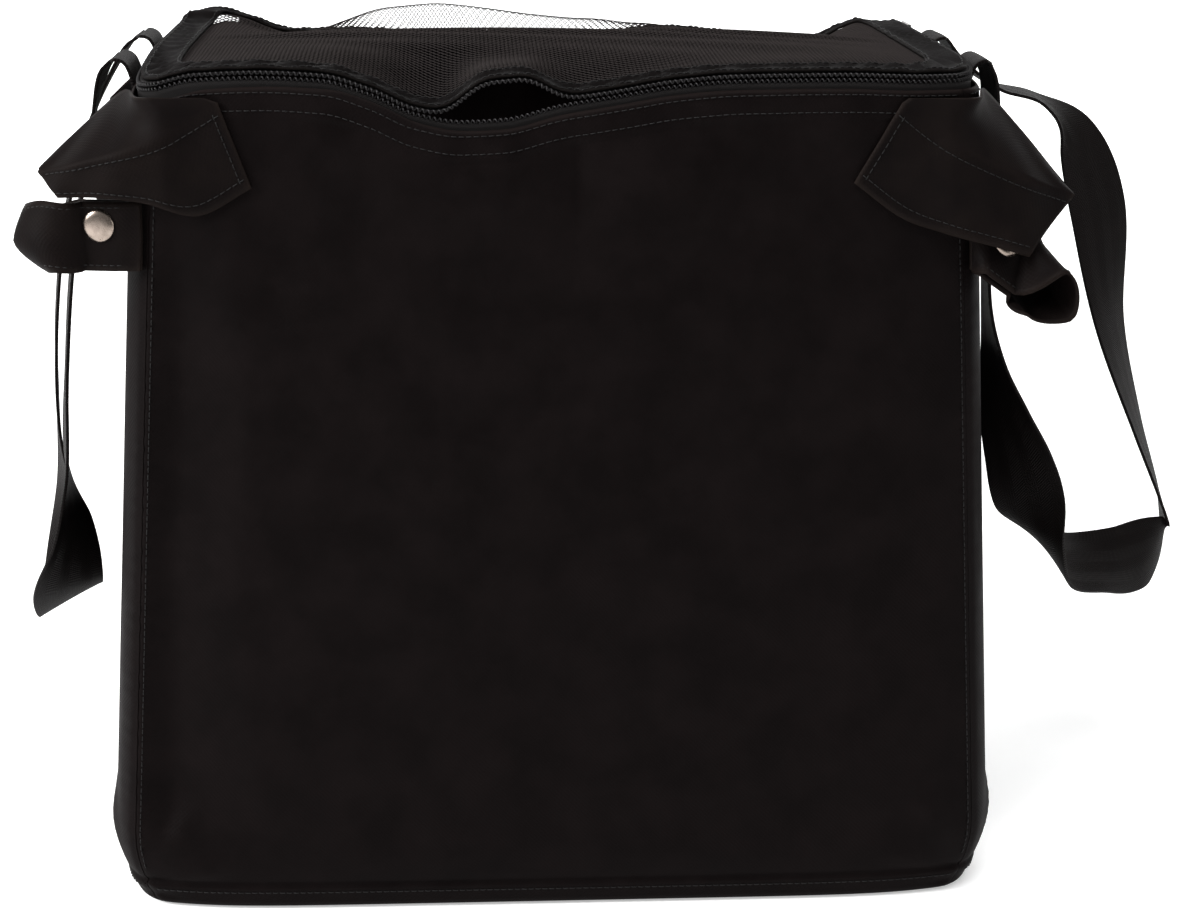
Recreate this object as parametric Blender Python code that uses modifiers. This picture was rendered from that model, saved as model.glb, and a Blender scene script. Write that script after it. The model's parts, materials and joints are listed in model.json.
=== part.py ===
"""A soft ball bag for a folding court cart: a boxy coated-fabric bag, open to a zipped net lid.

The bag stands on its stiffened bottom with its front facing -Y. A pocket-like hood at each
top corner slips over the end of a cart arm, a snap strap below it closes round the arm, and
a webbing handle hangs on each side.
"""

import bmesh
import bpy
import numpy as np
from math import cos, exp, pi, radians, sin
from mathutils import Matrix, Vector

# The bag's outer sizes, in metres
RIM_HEIGHT = 0.407
SEAM_X_TOP = 0.185
SEAM_X_BOTTOM = 0.2107
SEAM_Y = 0.131
CORNER_ROUND = 0.009
SIDE_ROUND = 0.0125
CORNER_POWER = 8
SIDE_POWER = 10
FRONT_BULGE = 0.006
CORNER_PINCH = 0.013
FRONT_PINCH = 0.006
PINCH_HEIGHT = 0.042

# Fabric, webbing and board
WALL = 0.0020
GAP = 0.0003
SEAM_GAP = 0.0009
BOTTOM_THICKNESS = 0.0022
BOARD_THICKNESS = 0.0030
BOARD_CLEARANCE = 0.0012
BINDING_THICKNESS = 0.0016
BINDING_WIDTH = 0.0075
BINDING_START = 0.0029
BINDING_END = 0.013

# Zip: a tape and a coil on the bag's rim, and the same on the lid
HEM_BELOW_RIM = 0.005
TAPE_THICKNESS = 0.0009
TAPE_HEIGHT = 0.011
COIL_RADIUS = 0.0011
COIL_SPACING = 0.0038
ZIP_END_Y = 0.0842
LID_ZIP_END_Y = 0.0725
LID_TAPE_WIDTH = 0.008
SAG_DEPTH = 0.015
SAG_CENTRE_X = -0.040
SAG_WIDTH = 0.060
STOP_LENGTH = 0.003
STOP_WIDTH = 0.0034
STOP_HEIGHT = 0.0030

# Lid
BORDER_WIDTH = 0.017
BORDER_THICKNESS = 0.0016
BORDER_ROUND = 0.020
NET_OVERLAP = 0.0045
NET_GAP = 0.0005
NET_STRAND = 0.0012
NET_GAPS_X = 16
NET_GAPS_Y = 12
NET_DOME = 0.006
NET_RIDGE_HEIGHT = 0.009
NET_RIDGE_X = -0.052
NET_RIDGE_HALF_LENGTH = 0.052
NET_RIDGE_BACK = 0.80
HINGE_TAPE_HALF_LENGTH = 0.150

# Slider and pull
SLIDER_Y = 0.078
SLIDER_LENGTH = 0.009
SLIDER_PLATE = 0.0012
SLIDER_BRIDGE = 0.0010
SLIDER_CLEARANCE = 0.00035
SLIDER_SKIRT = 0.0022
BAIL_REACH = 0.0028
BAIL_BAR = 0.0010
BAIL_HALF_SPAN = 0.0030
BAIL_WIDTH = 0.0016
PULL_LENGTH = 0.024
PULL_THICKNESS = 0.0010
PULL_HALF_WIDTH = 0.0028
PULL_EYE_END = 0.0055
PULL_EYE_HALF_WIDTH = 0.0014

# Corner hoods
HOOD_THICKNESS = 0.0014
HOOD_SEAT = 0.00035
HOOD_SEWN_TO = 0.150
HOOD_FREE_FROM = 0.178

# Snap straps
STRAP_WIDTH = 0.032
STRAP_THICKNESS = 0.0012
STRAP_START = 0.0009
STRAP_ROOT_OUT = 0.0008
STRAP_LAYERS = 0.00078
SNAP_X = 0.0205
SNAP_FLAT = 0.0083
SNAP_ABOVE_CENTRE = 0.005
SNAP_HALF_SPACE = 0.0018
SNAP_HOLE_RADIUS = 0.0021
SNAP_BARREL_RADIUS = 0.0017
SNAP_CAP_RADIUS = 0.0077
SNAP_CAP_HEIGHT = 0.0019
SNAP_SOCKET_RADIUS = 0.0057
SNAP_SOCKET_BORE = 0.0031
SNAP_STUD_RADIUS = 0.0053
SNAP_KNOB_RADIUS = 0.0027
SNAP_POST_RADIUS = 0.0050
SNAP_POST_HEIGHT = 0.0008
SNAP_SIDES = 14

# Handles
HANDLE_WIDTH = 0.038
HANDLE_THICKNESS = 0.0016
HANDLE_LEG_Y = 0.052
HANDLE_SEWN_LENGTH = 0.050
HANDLE_STITCHED_TO = 0.0200
HANDLE_PIVOT_OUT = 0.0115
HANDLE_PIVOT_ABOVE_RIM = 0.0030

COLLECTION = "ball_bag"
CUTTERS = "cutters"


def clear_scene():
    for obj in list(bpy.data.objects):
        bpy.data.objects.remove(obj, do_unlink=True)


def new_collection(name):
    collection = bpy.data.collections.new(name)
    bpy.context.scene.collection.children.link(collection)
    return collection


clear_scene()
PARTS = new_collection(COLLECTION)
HELPERS = new_collection(CUTTERS)


def material(name, colour, roughness, metallic=0.0):
    made = bpy.data.materials.new(name)
    made.use_nodes = True
    shader = made.node_tree.nodes["Principled BSDF"]
    shader.inputs["Base Color"].default_value = (*colour, 1.0)
    shader.inputs["Roughness"].default_value = roughness
    shader.inputs["Metallic"].default_value = metallic
    made.diffuse_color = (*colour, 1.0)
    return made


COATED = (0.012, 0.011, 0.011)
COATED_ROUGHNESS = 0.42
WEBBING = (0.009, 0.008, 0.008)
NET = (0.014, 0.012, 0.012)
TAPE = (0.010, 0.010, 0.010)
COIL = (0.030, 0.028, 0.030)
NICKEL = (0.42, 0.38, 0.34)
GUNMETAL = (0.10, 0.10, 0.11)
BOARD = (0.020, 0.020, 0.021)


def add(name, mesh, finish, parent=None):
    """Puts a mesh in the scene as a part with its own material."""
    obj = bpy.data.objects.new(name, mesh)
    PARTS.objects.link(obj)
    mesh.materials.clear()
    mesh.materials.append(material(name, *finish))
    if parent is not None:
        obj.parent = parent
        obj.matrix_parent_inverse = parent.matrix_world.inverted()
    return obj


def pivot(name, place):
    """An empty on a joint's axis, which carries the pieces that move with it."""
    empty = bpy.data.objects.new(name, None)
    empty.location = place
    empty.empty_display_size = 0.02
    PARTS.objects.link(empty)
    bpy.context.view_layer.update()
    return empty


def smooth(mesh):
    mesh.shade_smooth()
    mesh.set_sharp_from_angle(angle=radians(40))


def sheet(name, place, across, along, thickness, finish, parent=None):
    """A fabric piece: a grid bent by place(u, v), with u and v from -1 to 1, then thickened."""
    work = bmesh.new()
    bmesh.ops.create_grid(work, x_segments=across, y_segments=along, size=1.0)
    for vertex in work.verts:
        vertex.co = place(vertex.co.x, vertex.co.y)
    mesh = bpy.data.meshes.new(name)
    work.to_mesh(mesh)
    work.free()
    smooth(mesh)
    obj = add(name, mesh, finish, parent)
    solid = obj.modifiers.new("thickness", "SOLIDIFY")
    solid.thickness = thickness
    solid.offset = 0.0
    solid.use_even_offset = True
    return obj


def curve_mesh(name, curve):
    """The closed mesh of a curve, with its caps welded to its sides."""
    guide = bpy.data.objects.new(name, curve)
    HELPERS.objects.link(guide)
    bpy.context.view_layer.update()
    evaluated = guide.evaluated_get(bpy.context.evaluated_depsgraph_get())
    mesh = bpy.data.meshes.new_from_object(evaluated)
    mesh.transform(guide.matrix_world)
    bpy.data.objects.remove(guide, do_unlink=True)
    work = bmesh.new()
    work.from_mesh(mesh)
    bmesh.ops.remove_doubles(work, verts=work.verts, dist=0.00001)
    bmesh.ops.recalc_face_normals(work, faces=work.faces)
    work.to_mesh(mesh)
    work.free()
    return mesh


def plate_mesh(name, outlines, thickness, frame=None):
    """A flat plate from closed outlines in a plane, as thick as given, placed by frame."""
    curve = bpy.data.curves.new(name, "CURVE")
    curve.dimensions = "2D"
    curve.fill_mode = "BOTH"
    curve.extrude = thickness / 2
    for points in outlines:
        spline = curve.splines.new("POLY")
        spline.points.add(len(points) - 1)
        for target, (x, y) in zip(spline.points, points):
            target.co = (x, y, 0.0, 1.0)
        spline.use_cyclic_u = True
    mesh = curve_mesh(name, curve)
    mesh.transform(frame or Matrix.Identity(4))
    return mesh


def tube_mesh(name, points, radius):
    """A round tube along points, with filled ends."""
    curve = bpy.data.curves.new(name, "CURVE")
    curve.dimensions = "3D"
    curve.bevel_depth = radius
    curve.bevel_resolution = 1
    curve.use_fill_caps = True
    spline = curve.splines.new("POLY")
    spline.points.add(len(points) - 1)
    for target, point in zip(spline.points, points):
        target.co = (*point, 1.0)
    mesh = curve_mesh(name, curve)
    smooth(mesh)
    return mesh


def turned_mesh(name, profile, frame, sides):
    """A turned piece: radius and height pairs swept round the local Z axis, placed by frame."""
    mesh = bpy.data.meshes.new(name)
    points = [(radius, 0.0, height) for radius, height in profile]
    closed = profile[0][0] > 0
    edges = [(i, i + 1) for i in range(len(points) - 1)]
    mesh.from_pydata(points, edges + ([(len(points) - 1, 0)] if closed else []), [])
    guide = bpy.data.objects.new(name, mesh)
    HELPERS.objects.link(guide)
    screw = guide.modifiers.new("turn", "SCREW")
    screw.steps = sides
    screw.render_steps = sides
    screw.use_merge_vertices = True
    screw.merge_threshold = 0.00001
    bpy.context.view_layer.update()
    evaluated = guide.evaluated_get(bpy.context.evaluated_depsgraph_get())
    made = bpy.data.meshes.new_from_object(evaluated)
    bpy.data.objects.remove(guide, do_unlink=True)
    work = bmesh.new()
    work.from_mesh(made)
    bmesh.ops.recalc_face_normals(work, faces=work.faces)
    work.to_mesh(made)
    work.free()
    made.transform(frame)
    smooth(made)
    return made


def cut(obj, mesh):
    """Cuts a closed mesh out of a part."""
    tool = bpy.data.objects.new(obj.name + "_cutter", mesh)
    tool.hide_render = True
    tool.display_type = "WIRE"
    HELPERS.objects.link(tool)
    hole = obj.modifiers.new("hole", "BOOLEAN")
    hole.operation = "DIFFERENCE"
    hole.solver = "EXACT"
    hole.object = tool
    tool.hide_set(True)


def join(obj, mesh):
    """Joins a closed mesh to a part."""
    tool = bpy.data.objects.new(obj.name + "_joined", mesh)
    tool.hide_render = True
    tool.display_type = "WIRE"
    HELPERS.objects.link(tool)
    union = obj.modifiers.new("union", "BOOLEAN")
    union.operation = "UNION"
    union.solver = "EXACT"
    union.object = tool
    tool.hide_set(True)


def path_rows(rows, count):
    """Rows spaced evenly along a smooth curve; the first three of each row are its place."""
    knots = np.array(rows, float)
    ends = np.vstack([2 * knots[0] - knots[1], knots, 2 * knots[-1] - knots[-2]])
    fine = []
    for a, b, c, d in zip(ends, ends[1:], ends[2:], ends[3:]):
        for t in np.linspace(0, 1, 12, endpoint=False):
            bend = (2 * a - 5 * b + 4 * c - d) * t**2 + (3 * b - a - 3 * c + d) * t**3
            fine.append(0.5 * (2 * b + (c - a) * t + bend))
    table = np.array(fine + [knots[-1]])
    steps = np.linalg.norm(np.diff(table[:, :3], axis=0), axis=1)
    lengths = np.concatenate([[0.0], np.cumsum(steps)])
    places = np.linspace(0.0, lengths[-1], count)
    return [[np.interp(s, lengths, column) for column in table.T] for s in places]


def path_points(points, count):
    return [Vector(row) for row in path_rows(points, count)]


def along(points, share):
    """The point at a share, from 0 to 1, of a list of evenly spaced points."""
    place = share * (len(points) - 1)
    index = min(int(place), len(points) - 2)
    return points[index].lerp(points[index + 1], place - index)


# The bag's walls: front and back run along X, the sides along Y, and they meet at corner seams


def pinch(z):
    return max(0.0, 1.0 - z / PINCH_HEIGHT) ** 2


def seam_x(z):
    flare = (SEAM_X_BOTTOM - SEAM_X_TOP) * (1 - z / RIM_HEIGHT)
    return SEAM_X_TOP + flare - CORNER_PINCH * pinch(z)


def seam_y(z):
    return SEAM_Y - FRONT_PINCH * pinch(z)


def belly(z):
    """How far the middle of a wall stands proud at a height, from 0 at top and bottom to 1."""
    return sin(pi * min(1.0, max(0.0, z / RIM_HEIGHT))) ** 0.8


def proud(t, most=CORNER_ROUND, power=CORNER_POWER):
    return most * (1 - abs(t) ** power)


def wall_point(side, t, z, inset=0.0):
    """A point on a wall, t from -1 to 1 along it, inset from the outer face."""
    half_x = seam_x(z) - inset
    half_y = seam_y(z) - inset
    bulge = FRONT_BULGE * belly(z) * (1 - t * t)
    if side == "front":
        return Vector((t * half_x, -(half_y + proud(t) + bulge), z))
    if side == "back":
        return Vector((t * half_x, half_y + proud(t) + bulge, z))
    sign = 1 if side == "right" else -1
    side_x = half_x + proud(t, SIDE_ROUND, SIDE_POWER)
    return Vector((sign * side_x, t * half_y, z))


def sag(x):
    return SAG_DEPTH * exp(-(((x - SAG_CENTRE_X) / SAG_WIDTH) ** 2))


def rim(side, x):
    """The height of the bag's rim: the unzipped front edge sags left of its middle."""
    return RIM_HEIGHT - (sag(x) if side == "front" else 0.0)


WALL_BOTTOM = BOTTOM_THICKNESS + GAP + WALL / 2


def wall(side, across, along_z):
    length = SEAM_X_TOP if side in ("front", "back") else SEAM_Y
    reach = 1 - SEAM_GAP / length

    def place(u, v):
        t = u * reach
        share = ((v + 1) / 2) ** 1.4
        top = rim(side, t * SEAM_X_TOP) - HEM_BELOW_RIM
        return wall_point(side, t, WALL_BOTTOM + (top - WALL_BOTTOM) * share, WALL / 2)

    sheet(side + "_panel", place, across, along_z, WALL, (COATED, COATED_ROUGHNESS))


for side_name, columns in (("front", 16), ("back", 14), ("left", 12), ("right", 12)):
    wall(side_name, columns, 10)


def section(z, inset, steps):
    """The bag's outline at a height, anticlockwise from above."""
    points = []
    for side, way in (("front", 1), ("right", 1), ("back", -1), ("left", -1)):
        for t in np.linspace(-way, way, steps, endpoint=False):
            points.append(tuple(wall_point(side, t, z, inset)[:2]))
    return points


bottom_frame = Matrix.Translation((0, 0, BOTTOM_THICKNESS / 2))
bottom_outline = section(WALL_BOTTOM, 0.0, 12)
add(
    "bottom_panel",
    plate_mesh("bottom_panel", [bottom_outline], BOTTOM_THICKNESS, bottom_frame),
    (COATED, 0.45),
)

board_frame = Matrix.Translation((0, 0, BOTTOM_THICKNESS + GAP + BOARD_THICKNESS / 2))
board_outline = section(WALL_BOTTOM, WALL + BOARD_CLEARANCE, 12)
add(
    "base_board",
    plate_mesh("base_board", [board_outline], BOARD_THICKNESS, board_frame),
    (BOARD, 0.6),
)


def seam_binding(name, sign_x, sign_y):
    """The bound seam allowance, which stands inward along a corner seam."""

    def place(u, v):
        z = BINDING_END + (RIM_HEIGHT - 2 * BINDING_END - BINDING_END) * (v + 1) / 2
        depth = BINDING_START + BINDING_WIDTH * (u + 1) / 2
        step = depth / 2**0.5
        half_x = seam_x(z) - WALL / 2 - step
        half_y = seam_y(z) - WALL / 2 - step
        return Vector((sign_x * half_x, sign_y * half_y, z))

    sheet(name, place, 1, 10, BINDING_THICKNESS, (TAPE, 0.8))


CORNERS = {
    "front_left": (-1, -1),
    "front_right": (1, -1),
    "back_left": (-1, 1),
    "back_right": (1, 1),
}
for corner_name, (sign_x, sign_y) in CORNERS.items():
    seam_binding("seam_binding_" + corner_name, sign_x, sign_y)


# The zip: its path runs inside the wall, from the left side round the front to the right side

TAPE_INSET = WALL + GAP + TAPE_THICKNESS / 2


def zip_stations(end_y, inset):
    """(side, t) pairs along the zip, from one end to the other."""
    last = end_y / (SEAM_Y - inset)
    sides = list(np.linspace(last, -1, 10, endpoint=False))
    front = list(np.linspace(-1, 1, 25))
    return (
        [("left", t) for t in sides]
        + [("front", t) for t in front]
        + [("right", t) for t in reversed(sides)]
    )


def zip_path(end_y, inset, drop, sagging):
    points = []
    for side, t in zip_stations(end_y, inset):
        point = wall_point(side, t, RIM_HEIGHT, inset)
        lower = sag(point.x) if sagging and side == "front" else 0.0
        points.append(Vector((point.x, point.y, RIM_HEIGHT - lower - drop)))
    return points


def strip(name, first, second, thickness, finish, parent=None, across=1):
    """A tape between two paths with as many points each."""
    last = len(first) - 1

    def place(u, v):
        index = round((v + 1) / 2 * last)
        return first[index].lerp(second[index], (u + 1) / 2)

    return sheet(name, place, across, last, thickness, finish, parent)


tape_top = COIL_RADIUS + GAP
strip(
    "rim_zip_tape",
    zip_path(ZIP_END_Y, TAPE_INSET, tape_top + TAPE_HEIGHT, True),
    zip_path(ZIP_END_Y, TAPE_INSET, tape_top, True),
    TAPE_THICKNESS,
    (TAPE, 0.75),
)
rim_coil = tube_mesh("rim_zip_coil", zip_path(ZIP_END_Y, TAPE_INSET, 0.0, True), COIL_RADIUS)
add("rim_zip_coil", rim_coil, (COIL, 0.35))

LID_Z = RIM_HEIGHT + COIL_SPACING
BORDER_Z = LID_Z + TAPE_THICKNESS / 2 + GAP + BORDER_THICKNESS / 2
HINGE_Y = SEAM_Y + CORNER_ROUND - TAPE_INSET
lid_pivot = pivot("lid_hinge", (0, HINGE_Y, BORDER_Z))

lid_coil = tube_mesh(
    "lid_zip_coil",
    zip_path(LID_ZIP_END_Y, TAPE_INSET, -COIL_SPACING, False),
    COIL_RADIUS,
)
add("lid_zip_coil", lid_coil, (COIL, 0.35), lid_pivot)
LID_EDGE_INSET = TAPE_INSET + COIL_RADIUS + GAP
strip(
    "lid_zip_tape",
    zip_path(LID_ZIP_END_Y, LID_EDGE_INSET, -COIL_SPACING, False),
    zip_path(LID_ZIP_END_Y, LID_EDGE_INSET + LID_TAPE_WIDTH, -COIL_SPACING, False),
    TAPE_THICKNESS,
    (TAPE, 0.75),
    lid_pivot,
)


def lid_outline(inset, steps):
    """The lid's outline, whose back edge is straight and on the hinge line."""
    points = section(RIM_HEIGHT, LID_EDGE_INSET + inset, steps)
    return [(x, min(y, HINGE_Y - inset)) for x, y in points]


BORDER_FRAME = Matrix.Translation((0, 0, BORDER_Z))
border = plate_mesh(
    "lid_border",
    [lid_outline(0.0, 14), lid_outline(BORDER_WIDTH, 14)],
    BORDER_THICKNESS,
    BORDER_FRAME,
)
add("lid_border", border, (COATED, 0.5), lid_pivot)

NET_Z = BORDER_Z - BORDER_THICKNESS / 2 - NET_GAP - NET_STRAND / 2
NET_INSET = LID_EDGE_INSET + BORDER_WIDTH - NET_OVERLAP
NET_SEWN = 0.0065


def lid_net():
    """The net: a grid of strands in a low dome, with a slack ridge along its back."""

    def lines(gaps, half):
        sewn = 1 - NET_SEWN / half
        inner = list(np.linspace(-sewn, sewn, gaps - 1))
        return [-1.0] + inner + [1.0]

    across = lines(NET_GAPS_X, SEAM_X_TOP - NET_INSET)
    along_y = lines(NET_GAPS_Y, SEAM_Y - NET_INSET)
    work = bmesh.new()
    bmesh.ops.create_grid(work, x_segments=NET_GAPS_X, y_segments=NET_GAPS_Y, size=1.0)
    for vertex in work.verts:
        u = across[round((vertex.co.x + 1) / 2 * NET_GAPS_X)]
        v = along_y[round((vertex.co.y + 1) / 2 * NET_GAPS_Y)]
        rise_u = max(0.0, 1 - (u / across[-2]) ** 2)
        rise_v = max(0.0, 1 - (v / along_y[-2]) ** 2)
        x = u * (SEAM_X_TOP - NET_INSET + proud(v, SIDE_ROUND, SIDE_POWER))
        y = v * (SEAM_Y - NET_INSET + proud(u))
        ridge = exp(-(((x - NET_RIDGE_X) / NET_RIDGE_HALF_LENGTH) ** 4))
        ridge *= max(0.0, 1 - abs(v - NET_RIDGE_BACK) / (along_y[-2] - NET_RIDGE_BACK))
        rise = NET_DOME * (rise_u * rise_v) ** 0.7 + NET_RIDGE_HEIGHT * ridge
        vertex.co = (x, y, NET_Z + rise)
    mesh = bpy.data.meshes.new("lid_net")
    work.to_mesh(mesh)
    work.free()
    obj = add("lid_net", mesh, (NET, 0.8), lid_pivot)
    strands = obj.modifiers.new("strands", "WIREFRAME")
    strands.thickness = NET_STRAND
    strands.offset = 0.0
    strands.use_boundary = True
    strands.use_replace = True
    strands.use_even_offset = True


lid_net()


def hinge_tape():
    """The tape that the lid's back edge is sewn to, standing inside the back wall."""
    low = RIM_HEIGHT - COIL_RADIUS - GAP - TAPE_HEIGHT
    high = BORDER_Z - BORDER_THICKNESS / 2 - GAP

    def place(u, v):
        x = u * HINGE_TAPE_HALF_LENGTH
        y = wall_point("back", x / SEAM_X_TOP, RIM_HEIGHT, TAPE_INSET + 0.0001).y
        return Vector((x, y, low + (high - low) * (v + 1) / 2))

    sheet("lid_hinge_tape", place, 12, 1, TAPE_THICKNESS, (TAPE, 0.75))


hinge_tape()


def zip_stop(name, sign):
    """A folded metal stop that closes the end of the rim's coil."""
    edge = wall_point("right", ZIP_END_Y / SEAM_Y, RIM_HEIGHT, TAPE_INSET)
    place = (sign * edge.x, ZIP_END_Y + GAP + STOP_LENGTH / 2, RIM_HEIGHT)
    work = bmesh.new()
    bmesh.ops.create_cube(work, size=1.0)
    for vertex in work.verts:
        vertex.co = Vector(
            (vertex.co.x * STOP_WIDTH, vertex.co.y * STOP_LENGTH, vertex.co.z * STOP_HEIGHT)
        ) + Vector(place)
    mesh = bpy.data.meshes.new(name)
    work.to_mesh(mesh)
    work.free()
    obj = add(name, mesh, (GUNMETAL, 0.35, 1.0))
    edge_round = obj.modifiers.new("round", "BEVEL")
    edge_round.width = 0.0005
    edge_round.segments = 2


zip_stop("zip_stop_left", -1)
zip_stop("zip_stop_right", 1)


# The slider rides the rim's coil on the right side, and its bridge passes between the coils


def slider():
    centre = wall_point("right", 0.0, RIM_HEIGHT, TAPE_INSET).x
    inner = COIL_RADIUS + SLIDER_CLEARANCE
    outer = inner + SLIDER_PLATE
    under = COIL_RADIUS + (COIL_SPACING - 2 * COIL_RADIUS - SLIDER_BRIDGE) / 2
    over = under + SLIDER_BRIDGE
    top = COIL_SPACING + COIL_RADIUS + SLIDER_CLEARANCE
    outline = [
        (-outer, -SLIDER_SKIRT),
        (-inner, -SLIDER_SKIRT),
        (-inner, under),
        (inner, under),
        (inner, -SLIDER_SKIRT),
        (outer, -SLIDER_SKIRT),
        (outer, top),
        (inner, top),
        (inner, over),
        (-outer, over),
    ]
    home = Matrix.Translation((centre, SLIDER_Y, RIM_HEIGHT))
    upright = home @ Matrix.Rotation(radians(90), 4, "X")
    carrier = pivot("slider_run", (centre, SLIDER_Y, RIM_HEIGHT))
    body = plate_mesh("zip_slider", [outline], SLIDER_LENGTH, upright)
    obj = add("zip_slider", body, (GUNMETAL, 0.3, 1.0), carrier)

    face = outer
    pull_z = COIL_SPACING / 2
    flat = home @ Matrix.Translation((0, 0, pull_z))
    loop = [
        (face - SLIDER_PLATE / 2, -BAIL_HALF_SPAN),
        (face + BAIL_REACH, -BAIL_HALF_SPAN),
        (face + BAIL_REACH, BAIL_HALF_SPAN),
        (face - SLIDER_PLATE / 2, BAIL_HALF_SPAN),
    ]
    opening = [
        (face, -BAIL_HALF_SPAN + BAIL_BAR),
        (face + BAIL_REACH - BAIL_BAR, -BAIL_HALF_SPAN + BAIL_BAR),
        (face + BAIL_REACH - BAIL_BAR, BAIL_HALF_SPAN - BAIL_BAR),
        (face, BAIL_HALF_SPAN - BAIL_BAR),
    ]
    join(obj, plate_mesh("zip_bail", [loop, opening], BAIL_WIDTH, flat))

    axis_x = face + (BAIL_REACH - BAIL_BAR) / 2
    axis = pivot("pull_hinge", (centre + axis_x, SLIDER_Y, RIM_HEIGHT + pull_z))
    axis.parent = carrier
    axis.matrix_parent_inverse = carrier.matrix_world.inverted()
    bpy.context.view_layer.update()
    half = PULL_THICKNESS / 2
    tip = [
        (PULL_LENGTH - PULL_HALF_WIDTH * (1 - cos(a)), PULL_HALF_WIDTH * sin(a))
        for a in np.linspace(-pi / 2, pi / 2, 9)
    ]
    tab = [(-half, PULL_HALF_WIDTH), (-half, -PULL_HALF_WIDTH)] + tip
    eye = [
        (half, -PULL_EYE_HALF_WIDTH),
        (PULL_EYE_END, -PULL_EYE_HALF_WIDTH),
        (PULL_EYE_END, PULL_EYE_HALF_WIDTH),
        (half, PULL_EYE_HALF_WIDTH),
    ]
    columns = ((0, 1, 0), (0, 0, 1), (1, 0, 0))
    turned = Matrix(columns).transposed().to_4x4()
    stand = axis.matrix_world @ turned
    pull = plate_mesh("zip_pull", [tab, eye], PULL_THICKNESS, stand)
    add("zip_pull", pull, (GUNMETAL, 0.3, 1.0), axis)


slider()


# Corner hoods: a front face that lies on the front wall and runs on past the corner, folded
# at a sloping ridge into a top face that ends on the side wall. Both are open below.

HOOD_SHAPES = {
    "left": {
        "lower": ((-0.0450, 0.0020, 0.0470), (-0.0210, 0.0020, 0.0595), (0.0010, 0.0010, 0.0540),
                  (0.0210, -0.0020, 0.0515), (0.0430, -0.0090, 0.0525)),
        "ridge": ((-0.0310, 0.0020, 0.0085), (-0.0150, 0.0020, 0.0180), (0.0020, 0.0025, 0.0270),
                  (0.0290, -0.0030, 0.0355), (0.0530, -0.0180, 0.0425)),
        "upper": ((-0.0250, 0.0020, 0.0065), (-0.0080, 0.0000, 0.0065), (0.0060, -0.0060, 0.0070),
                  (0.0180, -0.0420, 0.0100), (0.0510, -0.0210, 0.0395)),
    },
    "right": {
        "lower": ((-0.0510, 0.0020, 0.0450), (-0.0290, 0.0020, 0.0610), (-0.0090, 0.0020, 0.0680),
                  (0.0170, -0.0020, 0.0660), (0.0410, -0.0080, 0.0680)),
        "ridge": ((-0.0300, 0.0020, 0.0085), (-0.0140, 0.0020, 0.0210), (0.0030, 0.0025, 0.0310),
                  (0.0310, -0.0030, 0.0440), (0.0560, -0.0180, 0.0540)),
        "upper": ((-0.0270, 0.0020, 0.0065), (-0.0080, 0.0000, 0.0065), (0.0070, -0.0060, 0.0070),
                  (0.0190, -0.0420, 0.0100), (0.0540, -0.0210, 0.0510)),
    },
}
HOOD_SHAPES["front_right"] = HOOD_SHAPES["right"] | {
    "lower": ((-0.0510, 0.0020, 0.0450), (-0.0290, 0.0020, 0.0610), (-0.0090, 0.0020, 0.0680),
              (0.0170, 0.0040, 0.0750), (0.0315, 0.0020, 0.0795)),
}


def hood_shape(corner):
    side = "left" if CORNERS[corner][0] < 0 else "right"
    return HOOD_SHAPES.get(corner, HOOD_SHAPES[side])



def outside(point, distance):
    """Moves a point of the front right quarter out to a distance from the bag's walls."""
    x, y, z = point
    half_x, half_y = seam_x(z), seam_y(z)
    if x < half_x:
        seat = distance - wall_point("front", x / half_x, z).y
        free = min(1.0, max(0.0, (x - HOOD_SEWN_TO) / (HOOD_FREE_FROM - HOOD_SEWN_TO)))
        return Vector((x, seat + max(0.0, y - seat) * free, z))
    if y < half_y:
        face = wall_point("right", y / half_y, z).x
        return Vector((max(x, face + distance), y, z))
    corner = Vector((half_x, half_y, z))
    away = point - corner
    if away.length < distance:
        away = Vector((1, 1, 0)).normalized() * distance
    return corner + away


def hood_line(points):
    """A hood's line through points given beside the seam's top, past the face, below the rim."""
    face = SEAM_Y + CORNER_ROUND
    placed = [(SEAM_X_TOP + x, face + y, RIM_HEIGHT - z) for x, y, z in points]
    return path_points(placed, 13)


def hood(corner):
    sign_x, sign_y = CORNERS[corner]
    shape = {key: hood_line(points) for key, points in hood_shape(corner).items()}
    distance = HOOD_SEAT + HOOD_THICKNESS / 2

    def place(u, v):
        share = (u + 1) / 2
        ridge = along(shape["ridge"], share)
        if v < 0:
            point = along(shape["lower"], share).lerp(ridge, v + 1)
        else:
            point = ridge.lerp(along(shape["upper"], share), v)
        point = outside(point, distance)
        return Vector((sign_x * point.x, sign_y * point.y, point.z))

    sheet("hood_" + corner, place, 12, 6, HOOD_THICKNESS, (COATED, COATED_ROUGHNESS))


for corner_name in CORNERS:
    hood(corner_name)


# Snap straps: each is one strip folded into a loop, sewn into the corner seam and held by a snap

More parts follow.
